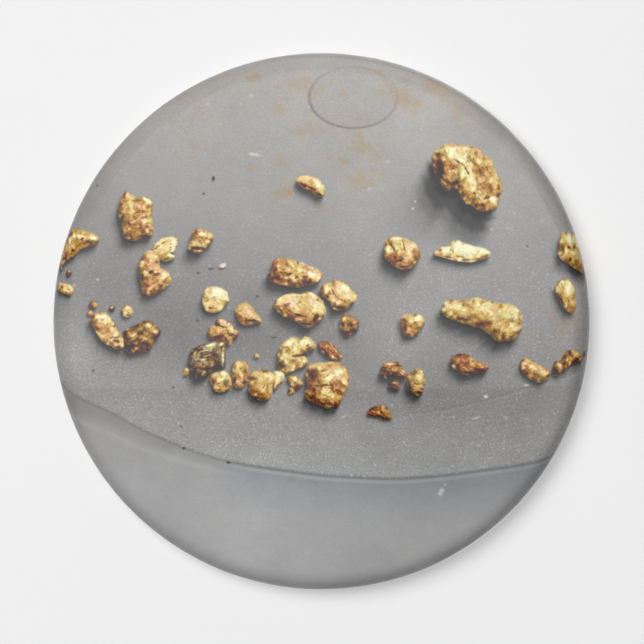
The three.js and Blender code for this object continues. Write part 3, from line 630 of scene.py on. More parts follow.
# The pan behind the nuggets. Tones are grey levels from 0 to 255, and sizes are in mm.
pan = {
    # tone of the pan down its left and its right side, as (height, tone)
    "leftTones": [(-24, 163), (-18, 166), (-12, 159), (-9, 157), (-5, 146), (-2, 141), (3, 147), (9, 156),
                  (24, 167)],
    "rightTones": [(-24, 158), (-12, 161), (-7, 148), (0, 157), (8, 161), (24, 172)],
    # broad patches of (x, z, size, change of tone)
    "patches": [(10, 11, 3.5, -10), (-8, -1, 4.5, -13), (-16, -1, 4, -10), (-15, 5, 5, -8),
                (-23, 5.5, 4, -8), (13, -8, 7, -13), (1, -5, 6, -8), (2, 26, 8, 7), (5, 14, 4, 5),
                (12, 22, 4, 6), (18, 21, 3, -8), (-24, 13, 4, -8), (22, -9, 4, -4), (-22, -15, 5, 6),
                (-10, -22, 7, 4), (22, -14, 3.5, -8), (8, -13, 6, -2), (20, 7, 5, 0), (-6, -23, 9, 9),
                (12, -23, 7, 8), (-22, 6, 6, -4), (-28, -3, 3.5, 22), (7, -2, 4, 9)],
    # rusty stains of (x, z, length, width, turn, strength)
    "stains": [(-7.2, 25.7, 1.3, 0.7, 10, 0.9), (-8.8, 26.0, 3.0, 1.4, 10, 0.35),
               (-14.5, 24.0, 2.0, 1.2, 35, 0.5), (-2.3, 25.0, 3.0, 1.4, 10, 0.5),
               (-0.5, 24.2, 1.8, 1.2, 40, 0.6), (2.3, 23.9, 1.0, 0.7, 0, 0.5),
               (6.6, 24.4, 3.4, 1.6, -10, 0.7), (8.6, 23.4, 3.0, 1.8, -30, 0.7),
               (7.0, 26.3, 2.8, 1.2, 0, 0.5), (12.1, 25.0, 4.5, 2.0, -25, 0.6),
               (14.1, 22.6, 4.0, 1.4, -40, 0.5), (-1.3, 20.4, 2.8, 2.0, 20, 0.5),
               (-4.2, 22.4, 2.2, 1.4, 10, 0.45), (4.2, 18.5, 3.2, 1.6, -15, 0.65),
               (1.9, 17.1, 2.0, 1.0, 0, 0.6), (5.5, 17.6, 1.8, 1.2, 0, 0.5),
               (4.6, 14.9, 2.6, 1.6, 20, 0.6), (-4.4, 16.9, 1.4, 1.0, 0, 0.4),
               (-4.0, 13.6, 2.0, 1.2, 30, 0.5), (-13.1, 22.1, 2.4, 1.4, 0, 0.3),
               (-13.5, 18.5, 1.0, 0.7, 0, 0.4), (-7.3, 16.1, 1.0, 0.7, 0, 0.35),
               (-4.0, 11.6, 1.6, 1.0, 0, 0.25), (0, 12.3, 1.8, 1.0, 0, 0.25),
               (7.0, 12.5, 1.6, 1.0, 0, 0.25), (25.4, -1.0, 4.0, 4.0, 60, 0.35),
               (7.5, 0.5, 1.8, 1.2, 0, 0.2), (-10.6, 26.3, 3.0, 1.0, 15, 0.3),
               (3.0, 21.0, 5.0, 3.0, 0, 0.22)],
    # pale specks, then dark ones, of (x, z, length, width, turn, tone, hue)
    "specks": [(-7.1, 17.55, 1.1, 0.28, -8, 0.86, -0.6), (-7.4, 23.8, 0.35, 0.3, 0, 0.8, -0.6),
               (-12, 22.9, 0.3, 0.2, 0, 0.8, -0.6), (-8.5, 22.9, 0.25, 0.2, 0, 0.8, -0.6),
               (-1.3, 22.6, 0.25, 0.2, 0, 0.85, -0.6), (10.5, 20.2, 0.3, 0.25, 0, 0.8, -0.6),
               (7, 16.8, 0.35, 0.25, 0, 0.8, -0.6), (5, 13.9, 0.4, 0.14, 10, 0.85, -0.6),
               (9.6, 11.85, 0.25, 0.2, 0, 0.9, -0.6), (9.85, 12.6, 0.2, 0.2, 0, 0.85, -0.6),
               (17.9, 9.7, 0.25, 0.2, 0, 0.85, -0.6), (19.6, 9.8, 0.6, 0.15, 0, 0.85, -0.6),
               (20.3, 11.4, 0.25, 0.2, 0, 0.85, -0.6), (23.3, 10.6, 0.3, 0.2, 0, 0.85, -0.6),
               (-23.6, 4.4, 0.3, 0.25, 0, 0.85, -0.6), (-26.1, 3.8, 0.25, 0.2, 0, 0.85, -0.6),
               (-3.4, 13.5, 0.5, 0.4, 20, 0.5, 0.5), (-10.35, 5.85, 0.7, 0.5, 20, 0.95, -0.6),
               (-10.5, 5.55, 0.6, 0.3, 10, 0.3, 0.3), (17.3, -7.95, 0.45, 0.35, 0, 0.9, -0.6),
               (16.2, -10.2, 0.8, 0.14, 12, 0.85, -0.6), (19.4, -10.2, 0.3, 0.2, 0, 0.8, -0.6),
               (21.6, -10.3, 0.25, 0.2, 0, 0.8, -0.6), (21.6, -6.75, 0.4, 0.16, 0, 0.9, -0.6),
               (2.4, -10, 0.7, 0.12, 35, 0.85, -0.6), (13.9, -10.1, 0.25, 0.2, 0, 0.8, -0.6),
               (16.6, -13.1, 0.3, 0.2, 0, 0.8, -0.6), (19.2, -13.4, 0.25, 0.2, 0, 0.8, -0.6),
               (20.7, -13.6, 0.25, 0.2, 0, 0.8, -0.6), (0, -12.6, 0.25, 0.2, 0, 0.8, -0.6),
               (7.4, -8.8, 0.25, 0.2, 0, 0.8, -0.6), (12.6, -18, 0.9, 0.5, 65, 0.84, -0.6),
               (13, -17.2, 0.2, 0.2, 0, 0.8, -0.6), (-11.4, 15, 0.5, 0.32, 70, 0.12, -0.5),
               (-12.4, 13.4, 0.25, 0.2, 0, 0.2, -0.5), (-11.6, 5.5, 0.5, 0.18, 10, 0.12, 0),
               (-12.95, 5.05, 0.3, 0.2, 0, 0.15, 0), (-6.75, 2.6, 0.3, 0.2, 0, 0.15, 0),
               (-5, -1.7, 0.4, 0.16, 0, 0.12, 0), (-13, 0.05, 0.3, 0.22, 0, 0.2, 1),
               (-24.1, -5.2, 0.3, 0.25, 0, 0.12, -0.5), (-15.6, -7, 0.25, 0.2, 0, 0.12, -0.5),
               (-14.8, -11.1, 0.2, 0.18, 0, 0.15, -0.5), (-23.8, 14.4, 0.25, 0.2, 0, 0.2, -0.5),
               (21.7, 7.9, 0.25, 0.2, 0, 0.3, -0.5), (-14.5, -13.4, 0.3, 0.22, 0, 0.12, -0.5),
               (-9.8, -14.9, 0.35, 0.22, 0, 0.12, -0.5)],
    # the step in the pan, and a fainter one above it on the right
    "step": [(-31, -5.0), (-27.7, -6.7), (-25.5, -8.2), (-22.2, -9.5), (-18.9, -11.5), (-15.6, -12.8),
             (-13.5, -13.7), (-9.75, -14.8), (-5.8, -15.4), (0, -16.2), (7.7, -16.6), (13.2, -16.2),
             (17.5, -15.6), (20.8, -15.2), (24.6, -14.4), (31, -12.6)],
    "ledge": [(-31, -13.0), (2, -10.9), (8.2, -9.9), (14.3, -9.0), (18.7, -7.8), (21.9, -6.9), (31, -4.2)],
}

# nugget colours from dark to light, for grey, gold and rusty stretches
rampTones = (0, 0.25, 0.45, 0.62, 0.8, 1)
rampColours = np.array([
    [(36, 32, 34), (80, 70, 66), (124, 110, 96), (164, 152, 122), (208, 204, 168), (242, 243, 226)],
    [(38, 28, 18), (106, 78, 44), (172, 132, 72), (216, 182, 110), (240, 226, 160), (252, 250, 214)],
    [(40, 24, 18), (112, 66, 42), (174, 112, 74), (214, 158, 116), (237, 197, 158), (249, 234, 212)],
])
printLight = {"level": 1.075, "glare": 0.055}  # room light on the print, and the gloss that lies over it
sunSlope = np.array([0.42, 0.55, 0.72]) / math.hypot(0.42, 0.55, 0.72)  # light in the printed scene
nuggetFinish = {"lift": 0.03, "hueShift": -0.1, "hueSpread": 0.55, "markCover": 0.88,
                "relief": 0.3, "glint": 0.2, "crack": 0.2}
latticeNoise = np.random.default_rng(7).uniform(-1, 1, (128, 128))


# smooth random lumps of a given size, from -1 to 1
def lumps(x, z, size, shift=0, octaves=1):
    total = np.zeros_like(x)
    for octave in range(octaves):
        u = (x / size + 17.3 * shift) * 2**octave + 11.7 * octave + 1000
        v = (z / size + 9.1 * shift) * 2**octave + 5.3 * octave + 1000
        column, row = np.floor(u).astype(int), np.floor(v).astype(int)
        s, t = u - column, v - row
        s, t = s * s * (3 - 2 * s), t * t * (3 - 2 * t)
        left, right = column % 128, (column + 1) % 128
        low, high = row % 128, (row + 1) % 128
        near = latticeNoise[low, left] * (1 - s) + latticeNoise[low, right] * s
        far = latticeNoise[high, left] * (1 - s) + latticeNoise[high, right] * s
        total += (near * (1 - t) + far * t) / 2**octave
    return total


def softStep(low, high, value):
    part = np.clip((value - low) / (high - low), 0, 1)
    return part * part * (3 - 2 * part)


# a closed outline through given points, rounded between them
def roundedOutline(points, steps=4):
    p1 = np.array(points, float)
    p0, p2, p3 = np.roll(p1, 1, axis=0), np.roll(p1, -1, axis=0), np.roll(p1, -2, axis=0)
    parts = []
    for t in np.arange(steps) / steps:
        parts.append(0.5 * (2 * p1 + (p2 - p0) * t + (2 * p0 - 5 * p1 + 4 * p2 - p3) * t**2
                            + (3 * p1 - p0 - 3 * p2 + p3) * t**3))
    return np.stack(parts, axis=1).reshape(-1, 2)


# distance to an outline in mm, positive inside it
def outlineDistance(x, z, outline):
    nearest = np.full(x.shape, 1e9)
    inside = np.zeros(x.shape, bool)
    for (ax, az), (bx, bz) in zip(outline, np.roll(outline, -1, axis=0)):
        dx, dz = bx - ax, bz - az
        along = np.clip(((x - ax) * dx + (z - az) * dz) / (dx * dx + dz * dz + 1e-12), 0, 1)
        nearest = np.minimum(nearest, (x - ax - along * dx) ** 2 + (z - az - along * dz) ** 2)
        if az != bz:
            inside ^= ((az > z) != (bz > z)) & (x < ax + (z - az) * dx / dz)
    return np.sqrt(nearest) * np.where(inside, 1, -1)


# how much of a point lies in an oval mark, with a ragged edge: above 0 is inside
def ovalDepth(x, z, mark, ragged):
    markX, markZ, length, width, turn = mark[:5]
    c, s = math.cos(math.radians(turn)), math.sin(math.radians(turn))
    along, across = (x - markX) * c + (z - markZ) * s, (z - markZ) * c - (x - markX) * s
    return 1 - np.hypot(along / (length / 2), across / (width / 2)) + ragged


# surface colours are kept as light values, and the inks that give them are worked out from the room light
def toLinear(colour):
    colour = np.asarray(colour, float) / 255
    return np.where(colour < 0.04045, colour / 12.92, ((colour + 0.055) / 1.055) ** 2.4)


def inkFor(seen):
    return np.maximum((toLinear(seen) - printLight["glare"]) / printLight["level"], 0.003)


# heights, light, mottling and marks of one nugget, as a tone and a hue
def shadeNugget(shape, outline, seed, x, z, depth):
    tone, hue, reach = shape["look"]
    bulge = min(1.2, 0.85 * depth.max()) + 0.05

    crust = softStep(0.75, 0.4, np.array(tone))  # darker nuggets are rougher

    def height(px, pz, inner):
        rise = 1 - np.clip(inner / bulge, 0, 1)
        dome = 0.9 * bulge * np.sqrt(1 - rise * rise)
        return dome + 0.3 * lumps(px, pz, 1.5, seed) + (0.03 + 0.07 * crust) * lumps(px, pz, 0.5, seed, 3)

    step = 0.05
    here = height(x, z, depth)
    slopeX = (height(x + step, z, outlineDistance(x + step, z, outline)) - here) / step
    slopeZ = (height(x, z + step, outlineDistance(x, z + step, outline)) - here) / step
    long = np.sqrt(1 + slopeX**2 + slopeZ**2)
    lit = (sunSlope[2] - slopeX * sunSlope[0] - slopeZ * sunSlope[1]) / long
    relief = np.clip(lit / sunSlope[2], 0, 1.5) - 1
    halfway = sunSlope + np.array([0, 0, 1])
    halfway = halfway / np.linalg.norm(halfway)
    glint = np.clip((halfway[2] - slopeX * halfway[0] - slopeZ * halfway[1]) / long, 0, 1) ** 40
    tones = (tone + nuggetFinish["lift"] + (0.04 + 0.1 * crust) * lumps(x, z, 0.28, seed + 3, 2)
             + 0.08 * lumps(x, z, 1.1, seed + 4))
    hues = hue + nuggetFinish["hueShift"] + nuggetFinish["hueSpread"] * lumps(x, z, 0.9, seed + 5, 3)
    ragged = 0.4 * lumps(x, z, 0.4, seed + 6, 3)
    for mark in shape["marks"]:
        cover = nuggetFinish["markCover"] * softStep(-0.35, 0.45, ovalDepth(x, z, mark, ragged))
        tones = tones + (mark[5] + 0.2 * ragged - tones) * cover
        hues = hues + (mark[6] - hues) * cover
    crack = softStep(0.05, 0.0, np.abs(lumps(x, z, 0.9, seed + 7, 2)))
    crack = crack * softStep(0.0, 0.4, lumps(x, z, 1.4, seed + 8))
    tones = (tones + nuggetFinish["relief"] * relief
             + nuggetFinish["glint"] * glint * softStep(0.3, 0.7, tones)
             - nuggetFinish["crack"] * crack)
    return tones, hues


def nuggetColour(tones, hues):
    tones, hues = np.clip(tones, 0, 1), np.clip(hues, -1, 1)
    colours = [np.stack([np.interp(tones, rampTones, row[:, k]) for k in range(3)], axis=1)
               for row in rampColours]
    grey, rust = np.clip(-hues, 0, 1)[:, None], np.clip(hues, 0, 1)[:, None]
    return colours[0] * grey + colours[2] * rust + colours[1] * (1 - grey - rust)


# the shadow that an outline throws to the lower left, from 0 to 1
def thrownShade(x, z, outline, reach):
    shade = np.zeros_like(x)
    for part, strength in ((0.12, 1.0), (0.5, 1.0), (1.0, 0.9), (1.4, 0.6), (1.8, 0.25)):
        soft = 0.12 + 0.24 * reach * part
        moved = outlineDistance(x + 0.42 * reach * part, z + 0.9 * reach * part, outline)
        shade = np.maximum(shade, strength * softStep(-soft, soft * 0.8, moved))
    return shade


# paint values at points of the picture: pan and nugget colour, nugget edge, shadow, stain and crust
def paintPicture(x, z):
    far = softStep(2, 20, z)
    left, right = (np.interp(z, *zip(*pan[side])) for side in ("leftTones", "rightTones"))
    tone = left + (right - left) * softStep(0, 13, x)
    for patchX, patchZ, size, change in pan["patches"]:
        tone = tone + change * np.exp(-((x - patchX) ** 2 + (z - patchZ) ** 2) / size**2)
    tone = tone + 2.2 * lumps(x, z, 3.5, 1, 2) + 1.6 * lumps(x, z, 0.9, 2)
    warmth = 2.6 * far + 1.4 - 1.6 * softStep(-12, -17, z)
    panColour = np.stack([tone + 0.6 * warmth, tone, tone - 0.8 * warmth], axis=1)
    ragged = 0.8 * lumps(x, z, 0.8, 3, 4)
    stained = np.zeros_like(x)
    for stain in pan["stains"]:
        cover = softStep(-0.7, 0.8, ovalDepth(x, z, stain, ragged))
        stained = np.maximum(stained, stain[5] * cover)

    nuggetEdge = np.full(x.shape, -1.0)
    castShade = np.zeros_like(x)
    goldColour = np.full((x.size, 3), 120.0)
    crusted = np.zeros_like(x)
    for seed, shape in enumerate(nuggets.values()):
        outline = roundedOutline(shape["edge"])
        reach = shape["look"][2]
        low, high = outline.min(axis=0) - 0.9 - 2 * reach, outline.max(axis=0) + 0.9
        near = np.flatnonzero((x > low[0]) & (x < high[0]) & (z > low[1]) & (z < high[1]))
        if not near.size:
            continue
        px, pz = x[near], z[near]
        castShade[near] = np.maximum(castShade[near], thrownShade(px, pz, outline, reach))
        depth = outlineDistance(px, pz, outline) + 0.05 * lumps(px, pz, 0.4, seed)
        own = (depth > -0.5) & (depth > nuggetEdge[near])
        if own.any():
            tones, hues = shadeNugget(shape, outline, seed, px[own], pz[own], depth[own])
            goldColour[near[own]] = nuggetColour(tones, hues)
            crusted[near[own]] = softStep(0.85, 0.35, tones)
            nuggetEdge[near[own]] = depth[own]
    for number, speck in enumerate(pan["specks"]):
        depth = ovalDepth(x, z, speck, 0.3 * lumps(x, z, 0.2, number)) * min(speck[2], speck[3]) / 2
        own = (depth > -0.4) & (depth > nuggetEdge)
        if speck[6] > 0:
            goldColour[own] = nuggetColour(np.full(own.sum(), speck[5]), np.full(own.sum(), speck[6]))
        else:
            goldColour[own] = speck[5] * np.array([236, 234, 224])
        nuggetEdge[own] = depth[own]
    return panColour, goldColour, nuggetEdge, castShade, stained, crusted


# height of a line in the picture above or below a point, measured square to the line
def belowLine(x, z, points):
    points = np.array(points)
    lineX = np.linspace(points[0, 0], points[-1, 0], 400)
    lineZ = np.interp(lineX, points[:, 0], points[:, 1])
    lineZ = np.convolve(np.pad(lineZ, 12, mode="edge"), np.ones(25) / 25, mode="valid")
    slope = np.interp(x, lineX, np.gradient(lineZ, lineX))
    return (np.interp(x, lineX, lineZ) - z) / np.sqrt(1 + slope**2)


# where a point of the wrapped paper lies in the flat picture, in mm
def pictureSpot(points):
    radius = np.maximum(np.hypot(points[:, 0], points[:, 2]), 1e-9)
    depth = -points[:, 1]
    bend = wrap["shoulderRadius"] - paperInset
    angle = np.clip(np.arctan2(radius - bendRadius, depth - bendDepth), faceAngle, math.pi / 2)
    flatPart = np.minimum(radius, bendRadius + bend * math.sin(faceAngle))
    reach = flatPart + bend * (angle - faceAngle) * (radius > bendRadius) + np.maximum(bendDepth - depth, 0)
    return points[:, 0] / radius * reach / mm, points[:, 2] / radius * reach / mm


def nearPaint(x, z, margin):
    near = np.zeros(x.shape, bool)
    for shape in nuggets.values():
        outline = roundedOutline(shape["edge"], 2)
        low, high = outline.min(axis=0) - margin, outline.max(axis=0) + margin
        here = np.flatnonzero((x > low[0]) & (x < high[0]) & (z > low[1]) & (z < high[1]))
        near[here] |= outlineDistance(x[here], z[here], outline) > -margin
    for speck in pan["specks"]:
        near |= np.hypot(x - speck[0], z - speck[1]) < max(speck[2], speck[3]) / 2 + 0.6 * margin
    return near


# clear film over the face, wrapped round the rim
clearFilm = {"thickness": 0.1 * mm, "faceSteps": 20, "bendSteps": 14}
filmLine = wrapLine(0, clearFilm["faceSteps"], clearFilm["bendSteps"])
filmInside = wrapLine(clearFilm["thickness"], clearFilm["faceSteps"], clearFilm["bendSteps"])
filmPiece = turnPiece("clearFilm", filmLine + filmInside[::-1], wrap["segments"])
pleatLip(filmPiece)
print("film made,", len(filmPiece.data.vertices), "points")

# printed paper under the film, with a finer mesh where the picture has nuggets
printedPaper = {"thickness": 0.15 * mm, "faceSteps": 52, "insideSteps": 5, "bendSteps": 8,
                "fineMargin": 0.42, "fineCuts": 3}
paperLine = wrapLine(paperInset, printedPaper["faceSteps"], printedPaper["bendSteps"])
paperInside = wrapLine(paperInset + printedPaper["thickness"], printedPaper["insideSteps"],
                       printedPaper["bendSteps"])
paperPiece = turnPiece("printedPaper", paperLine + paperInside[::-1], wrap["segments"])
pleatLip(paperPiece)

bpy.ops.object.mode_set(mode="EDIT")
faces = bmesh.from_edit_mesh(paperPiece.data).faces
centres = np.array([face.calc_center_median()[:] for face in faces])
outward = np.array([face.normal.dot(face.calc_center_median()) > 0 for face in faces])
fine = outward & nearPaint(*pictureSpot(centres), printedPaper["fineMargin"])
selectWhere(paperPiece, "FACE", lambda face: fine[face.index])
bpy.ops.mesh.subdivide(number_cuts=printedPaper["fineCuts"])
bpy.ops.object.mode_set(mode="OBJECT")

points = np.array([vert.co[:] for vert in paperPiece.data.vertices])
pictureX, pictureZ = pictureSpot(points)
panColour, goldColour, nuggetEdge, castShade, stained, crusted = paintPicture(pictureX, pictureZ)


def storeColour(piece, name, values):
    attribute = piece.data.attributes.new(name, "FLOAT_COLOR", "POINT")
    attribute.data.foreach_set("color", np.column_stack([values, np.ones(len(values))]).ravel())


def storeValue(piece, name, values):
    piece.data.attributes.new(name, "FLOAT", "POINT").data.foreach_set("value", values)


storeColour(paperPiece, "panInk", inkFor(panColour))
storeColour(paperPiece, "goldInk", inkFor(goldColour))
storeValue(paperPiece, "nuggetEdge", nuggetEdge)
storeValue(paperPiece, "castShade", castShade)
storeValue(paperPiece, "stained", stained)
storeValue(paperPiece, "crusted", crusted)
storeValue(paperPiece, "stepAt", belowLine(pictureX, pictureZ, pan["step"]))
storeValue(paperPiece, "ledgeAt", belowLine(pictureX, pictureZ, pan["ledge"]))
print("paper printed,", len(points), "points,", len(paperPiece.data.polygons), "faces")


# replaces each inner corner of a closed line with a small curve
def softenCorners(line, cut, steps=3):
    soft = [line[0]]
    for before, corner, after in zip(line, line[1:], line[2:]):
        for i in range(steps + 1):
            t = i / steps
            spot = []
            for k in range(2):
                start = corner[k] + (before[k] - corner[k]) * cut / math.dist(before, corner)
                end = corner[k] + (after[k] - corner[k]) * cut / math.dist(after, corner)
                spot.append(start * (1 - t) ** 2 + 2 * corner[k] * t * (1 - t) + end * t * t)
            soft.append(tuple(spot))
    return soft + [line[-1]]


# pressed back plate: a trapped flange and a floor set back for the magnet
backPlate = {"thickness": 0.3 * mm, "mouthRadius": 25.35 * mm, "floorRadius": 25.0 * mm,
             "wallShift": 0.26 * mm, "corner": 0.1 * mm}
plateFront = -plateLow.y
plateFloor = plateFront - backPlate["thickness"]
flangeBack = -plateHigh.y
flangeFront = flangeBack + backPlate["thickness"]
plateLine = [
    (0, plateFront),
    (backPlate["floorRadius"] + backPlate["wallShift"], plateFront),
    (backPlate["mouthRadius"] + backPlate["wallShift"], flangeFront),
    (plateHigh.x, flangeFront),
    (plateHigh.x, flangeBack),
    (backPlate["mouthRadius"], flangeBack),
    (backPlate["floorRadius"], plateFloor),
    (0, plateFloor),
]
platePiece = turnPiece("backPlate", softenCorners(plateLine, backPlate["corner"]), 160)

# flexible magnet, punched from sheet, so its back edge is slightly rounded
magnetSheet = {"corner": 0.14 * mm}
magnetFront, magnetRadius = -magnetLow.y, magnetHigh.x
magnetLine = [(0, magnetFront), (magnetRadius, magnetFront), (magnetRadius, 0), (0, 0)]
magnetPiece = turnPiece("magnetDisc", softenCorners(magnetLine, magnetSheet["corner"], 4), 160)

for piece, node, slot in ((filmPiece, "clear_film", "film"), (paperPiece, "printed_paper", "print"),
                          (platePiece, "back_plate", "tinplate"),
                          (magnetPiece, "magnet_disc", "magnet_rubber")):
    bpy.ops.object.select_all(action="DESELECT")
    bpy.context.view_layer.objects.active = piece
    piece.select_set(True)
    bpy.ops.object.shade_smooth_by_angle(angle=math.radians(32))
    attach(piece, "root")
    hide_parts(node)
print("plate made,", len(platePiece.data.vertices), "points")
print("magnet made,", len(magnetPiece.data.vertices), "points")


# one socket of a node tree, so that sums in a material read as plain expressions
class Wire:
    def __init__(self, tree, socket):
        self.tree, self.socket = tree, socket

    def node(self, kind, settings=None, inputs=None, output=0):
        made = self.tree.nodes.new(kind)
        for name, value in (settings or {}).items():
            if name == "stops":
                while len(made.color_ramp.elements) < len(value):
                    made.color_ramp.elements.new(0.5)
                for element, (place, colour) in zip(made.color_ramp.elements, value):
                    element.position, element.color = place, (*colour, 1)
            else:
                setattr(made, name, value)
        for name, value in (inputs or {}).items():
            if isinstance(value, Wire):
                self.tree.links.new(value.socket, made.inputs[name])
            else:
                made.inputs[name].default_value = value
        return Wire(self.tree, made.outputs[output])

    def maths(self, operation, *values, clamp=False):
        settings = {"operation": operation, "use_clamp": clamp}
        return self.node("ShaderNodeMath", settings, dict(enumerate(values)))

    def __add__(self, other):
        return self.maths("ADD", self, other)

    def __sub__(self, other):
        return self.maths("SUBTRACT", self, other)

    def __mul__(self, other):
        return self.maths("MULTIPLY", self, other)

    def __truediv__(self, other):
        return self.maths("DIVIDE", self, other)

    def __pow__(self, other):
        return self.maths("POWER", self, other)

    def __rsub__(self, other):
        return self.maths("SUBTRACT", other, self)

    def __abs__(self):
        return self.maths("ABSOLUTE", self)

    __radd__ = __add__
    __rmul__ = __mul__

    def limited(self):
        return self.maths("ADD", self, 0, clamp=True)

    # 1 above high, 0 below low, straight between them
    def between(self, low, high):
        return ((self - low) / (high - low)).limited()

    # 1 at the centre of a line, fading to 0 at its half width
    def tent(self, centre, halfWidth):
        return (1 - abs(self - centre) / halfWidth).limited()

    def blend(self, first, second, blendType="MIX"):
        return self.node("ShaderNodeMix", {"data_type": "RGBA", "blend_type": blendType},
                         {0: self, 6: first, 7: second}, 2)

    # a colour made lighter or darker by this value
    def scaled(self, colour):
        return self.node("ShaderNodeVectorMath", {"operation": "SCALE"}, {0: colour, "Scale": self})

    def noise(self, size, detail=2, roughness=0.5, stretch=(1, 1, 1)):
        place = self.node("ShaderNodeMapping", None, {"Vector": self, "Scale": stretch})
        return place.node("ShaderNodeTexNoise", None, {
            "Vector": place, "Scale": 1 / size, "Detail": detail, "Roughness": roughness})


def startMaterial(name):
    material = bpy.data.materials.new(name)
    material.use_nodes = True
    tree = material.node_tree
    tree.nodes.clear()
    place = Wire(tree, tree.nodes.new("ShaderNodeTexCoord").outputs["Object"])
    output = tree.nodes.new("ShaderNodeOutputMaterial")
    return material, place, output


def finishMaterial(wire, output):
    wire.tree.links.new(wire.socket, output.inputs["Surface"])


def lightFrom(colour):
    return (*[float(v) for v in toLinear(colour)], 1)


# clear film: light goes through, and its turned rim mirrors more (the face's gloss is the print's coat)
def makeFilm():
    material, place, output = startMaterial("glossyFilm")
    gloss = {"edgeMirror": 0.3, "roughness": 0.05}
    facing = place.node("ShaderNodeLayerWeight", None, {"Blend": 0.5}, 1)
    clear = place.node("ShaderNodeBsdfTransparent", None, {"Color": (1, 1, 1, 1)})
    waves = place.node("ShaderNodeBump", None, {
        "Strength": 0.25, "Distance": 0.00002, "Height": place.noise(7 * mm, 1)})
    mirror = place.node("ShaderNodeBsdfGlossy", None, {
        "Color": (1, 1, 1, 1), "Roughness": gloss["roughness"], "Normal": waves})
    share = gloss["edgeMirror"] * facing**5
    finishMaterial(place.node("ShaderNodeMixShader", None, {0: share, 1: clear, 2: mirror}), output)
    return material


# the print: pan, step line, ring mark, grain, shadows and nuggets
def makePrint():
    material, place, output = startMaterial("printedPicture")
    look = {
        "grain": 0.9,
        "paleGrain": 0.42,
        "paleScratch": 0.14,
        "smudges": 0.1,
        "scuffs": 0.1,
        "shade": 0.96,
        "rust": 0.85,
        "edgeSoftness": 0.09,
        "step": {"band": 0.17, "bandRim": 0.1, "line": 0.34, "rim": 0.22, "fade": 0.2},
        "ledge": {"line": 0.14, "rim": 0.1},
        "ring": {"centre": (3.35, 23.6), "radii": (4.63, 3.25),
                 "line": 0.13, "lowLine": 0.34, "inside": 0.05},
    }

    def painted(name, output):
        return place.node("ShaderNodeAttribute", {"attribute_name": name}, None, output)

    x = place.node("ShaderNodeSeparateXYZ", None, {0: place}, 0) / mm
    z = place.node("ShaderNodeSeparateXYZ", None, {0: place}, 2) / mm
    step, ledge = painted("stepAt", 2), painted("ledgeAt", 2)
    below = step.between(-0.05, 0.1)

    # left of the middle the step is a dull band, right of it a fine line over a band that fades
    leftSide = x.between(-7, -12)
    bandWidth = 0.9 + 1.3 * x.between(-12, -28)
    band = below * (bandWidth + 0.2 - step).between(0, 1.1) * leftSide
    bandRim = (step - bandWidth).tent(0.35, 0.45) * leftSide
    fineLine = step.tent(0, 0.28) * (1 - 0.3 * leftSide)
    fineRim = step.tent(0.42, 0.3) * (1 - leftSide)
    fade = below * (1 - step / 5).limited() * (1 - leftSide)
    rightSide = x.between(7, 12)
    ledgeLine = ledge.tent(0, 0.2) * rightSide
    ledgeRim = ledge.tent(0.3, 0.25) * rightSide

    # ring mark at the top
    ring = look["ring"]
    sideways, upward = (x - ring["centre"][0]) / ring["radii"][0], (z - ring["centre"][1]) / ring["radii"][1]
    ringReach = (sideways * sideways + upward * upward) ** 0.5
    lowSide = (0.45 - 0.35 * sideways - 0.6 * upward).limited()
    ringLine = ((ringReach - 1) * 3.9).tent(0, 0.24)
    ringInside = ringReach.between(1, 0.9)

    smudges = place.noise(2.2 * mm, 3, 0.6) - 0.5
    scuffs = place.noise(1.1 * mm, 4, 0.65, (0.35, 1, 1.4)) - 0.5
    grain = place.noise(0.17 * mm, 2, 0.7) - 0.5
    paleGrain = place.noise(0.22 * mm, 1).between(0.61, 0.71) * (0.15 + 0.85 * z.between(14, 3)) * (1 - below)
    paleScratch = place.noise(0.35 * mm, 2, 0.6, (0.4, 1, 2.2)).between(0.62, 0.74) * (1 - below)
    roughArea = (0.55 + 0.5 * z.between(8, -4)) * (1 - 0.7 * below)
    stepLook, ledgeLook = look["step"], look["ledge"]
    level = (1 + smudges * look["smudges"] + scuffs * look["scuffs"] + grain * look["grain"] * roughArea
             + paleGrain * look["paleGrain"] + paleScratch * look["paleScratch"]
             - band * stepLook["band"] + bandRim * stepLook["bandRim"] - fineLine * stepLook["line"]
             + fineRim * stepLook["rim"] - fade * stepLook["fade"]
             - ledgeLine * ledgeLook["line"] + ledgeRim * ledgeLook["rim"]
             - ringLine * (lowSide * ring["lowLine"] + ring["line"]) - ringInside * ring["inside"])
    level = level * (1 - painted("castShade", 2) * look["shade"])
    panInk = level.scaled(painted("panInk", 0))
    rusty = (painted("stained", 2) + (place.noise(0.7 * mm, 5, 0.7) - 0.5) * 1.1).between(0.04, 0.62)
    panInk = (rusty * look["rust"]).blend(panInk, (1.03, 0.85, 0.62, 1), "MULTIPLY")
    cool = fade * 0.6 + painted("castShade", 2) * 0.35
    panInk = cool.blend(panInk, (0.93, 0.98, 1.08, 1), "MULTIPLY")

    crusted = painted("crusted", 2)
    pits = place.noise(0.26 * mm, 3, 0.7)
    sparks = place.noise(0.19 * mm, 1).between(0.62, 0.7)
    goldLevel = (1 + grain * (0.2 + 0.4 * crusted) + (pits - 0.5) * (0.4 + 1.4 * crusted)
                 + sparks * crusted * 0.6
                 - (1 - abs(place.noise(0.55 * mm, 2) - 0.5) * 22).limited() * (0.12 + 0.4 * crusted))
    goldInk = goldLevel.scaled(painted("goldInk", 0))
    inside = painted("nuggetEdge", 2).between(-look["edgeSoftness"], look["edgeSoftness"])
    picture = inside.blend(panInk, goldInk)
    surface = place.node("ShaderNodeBsdfPrincipled", None, {
        "Base Color": picture, "Roughness": 0.55, "Specular IOR Level": 0.15,
        "Coat Weight": 0.56, "Coat Roughness": 0.035, "Coat IOR": 1.5})
    finishMaterial(surface, output)
    return material


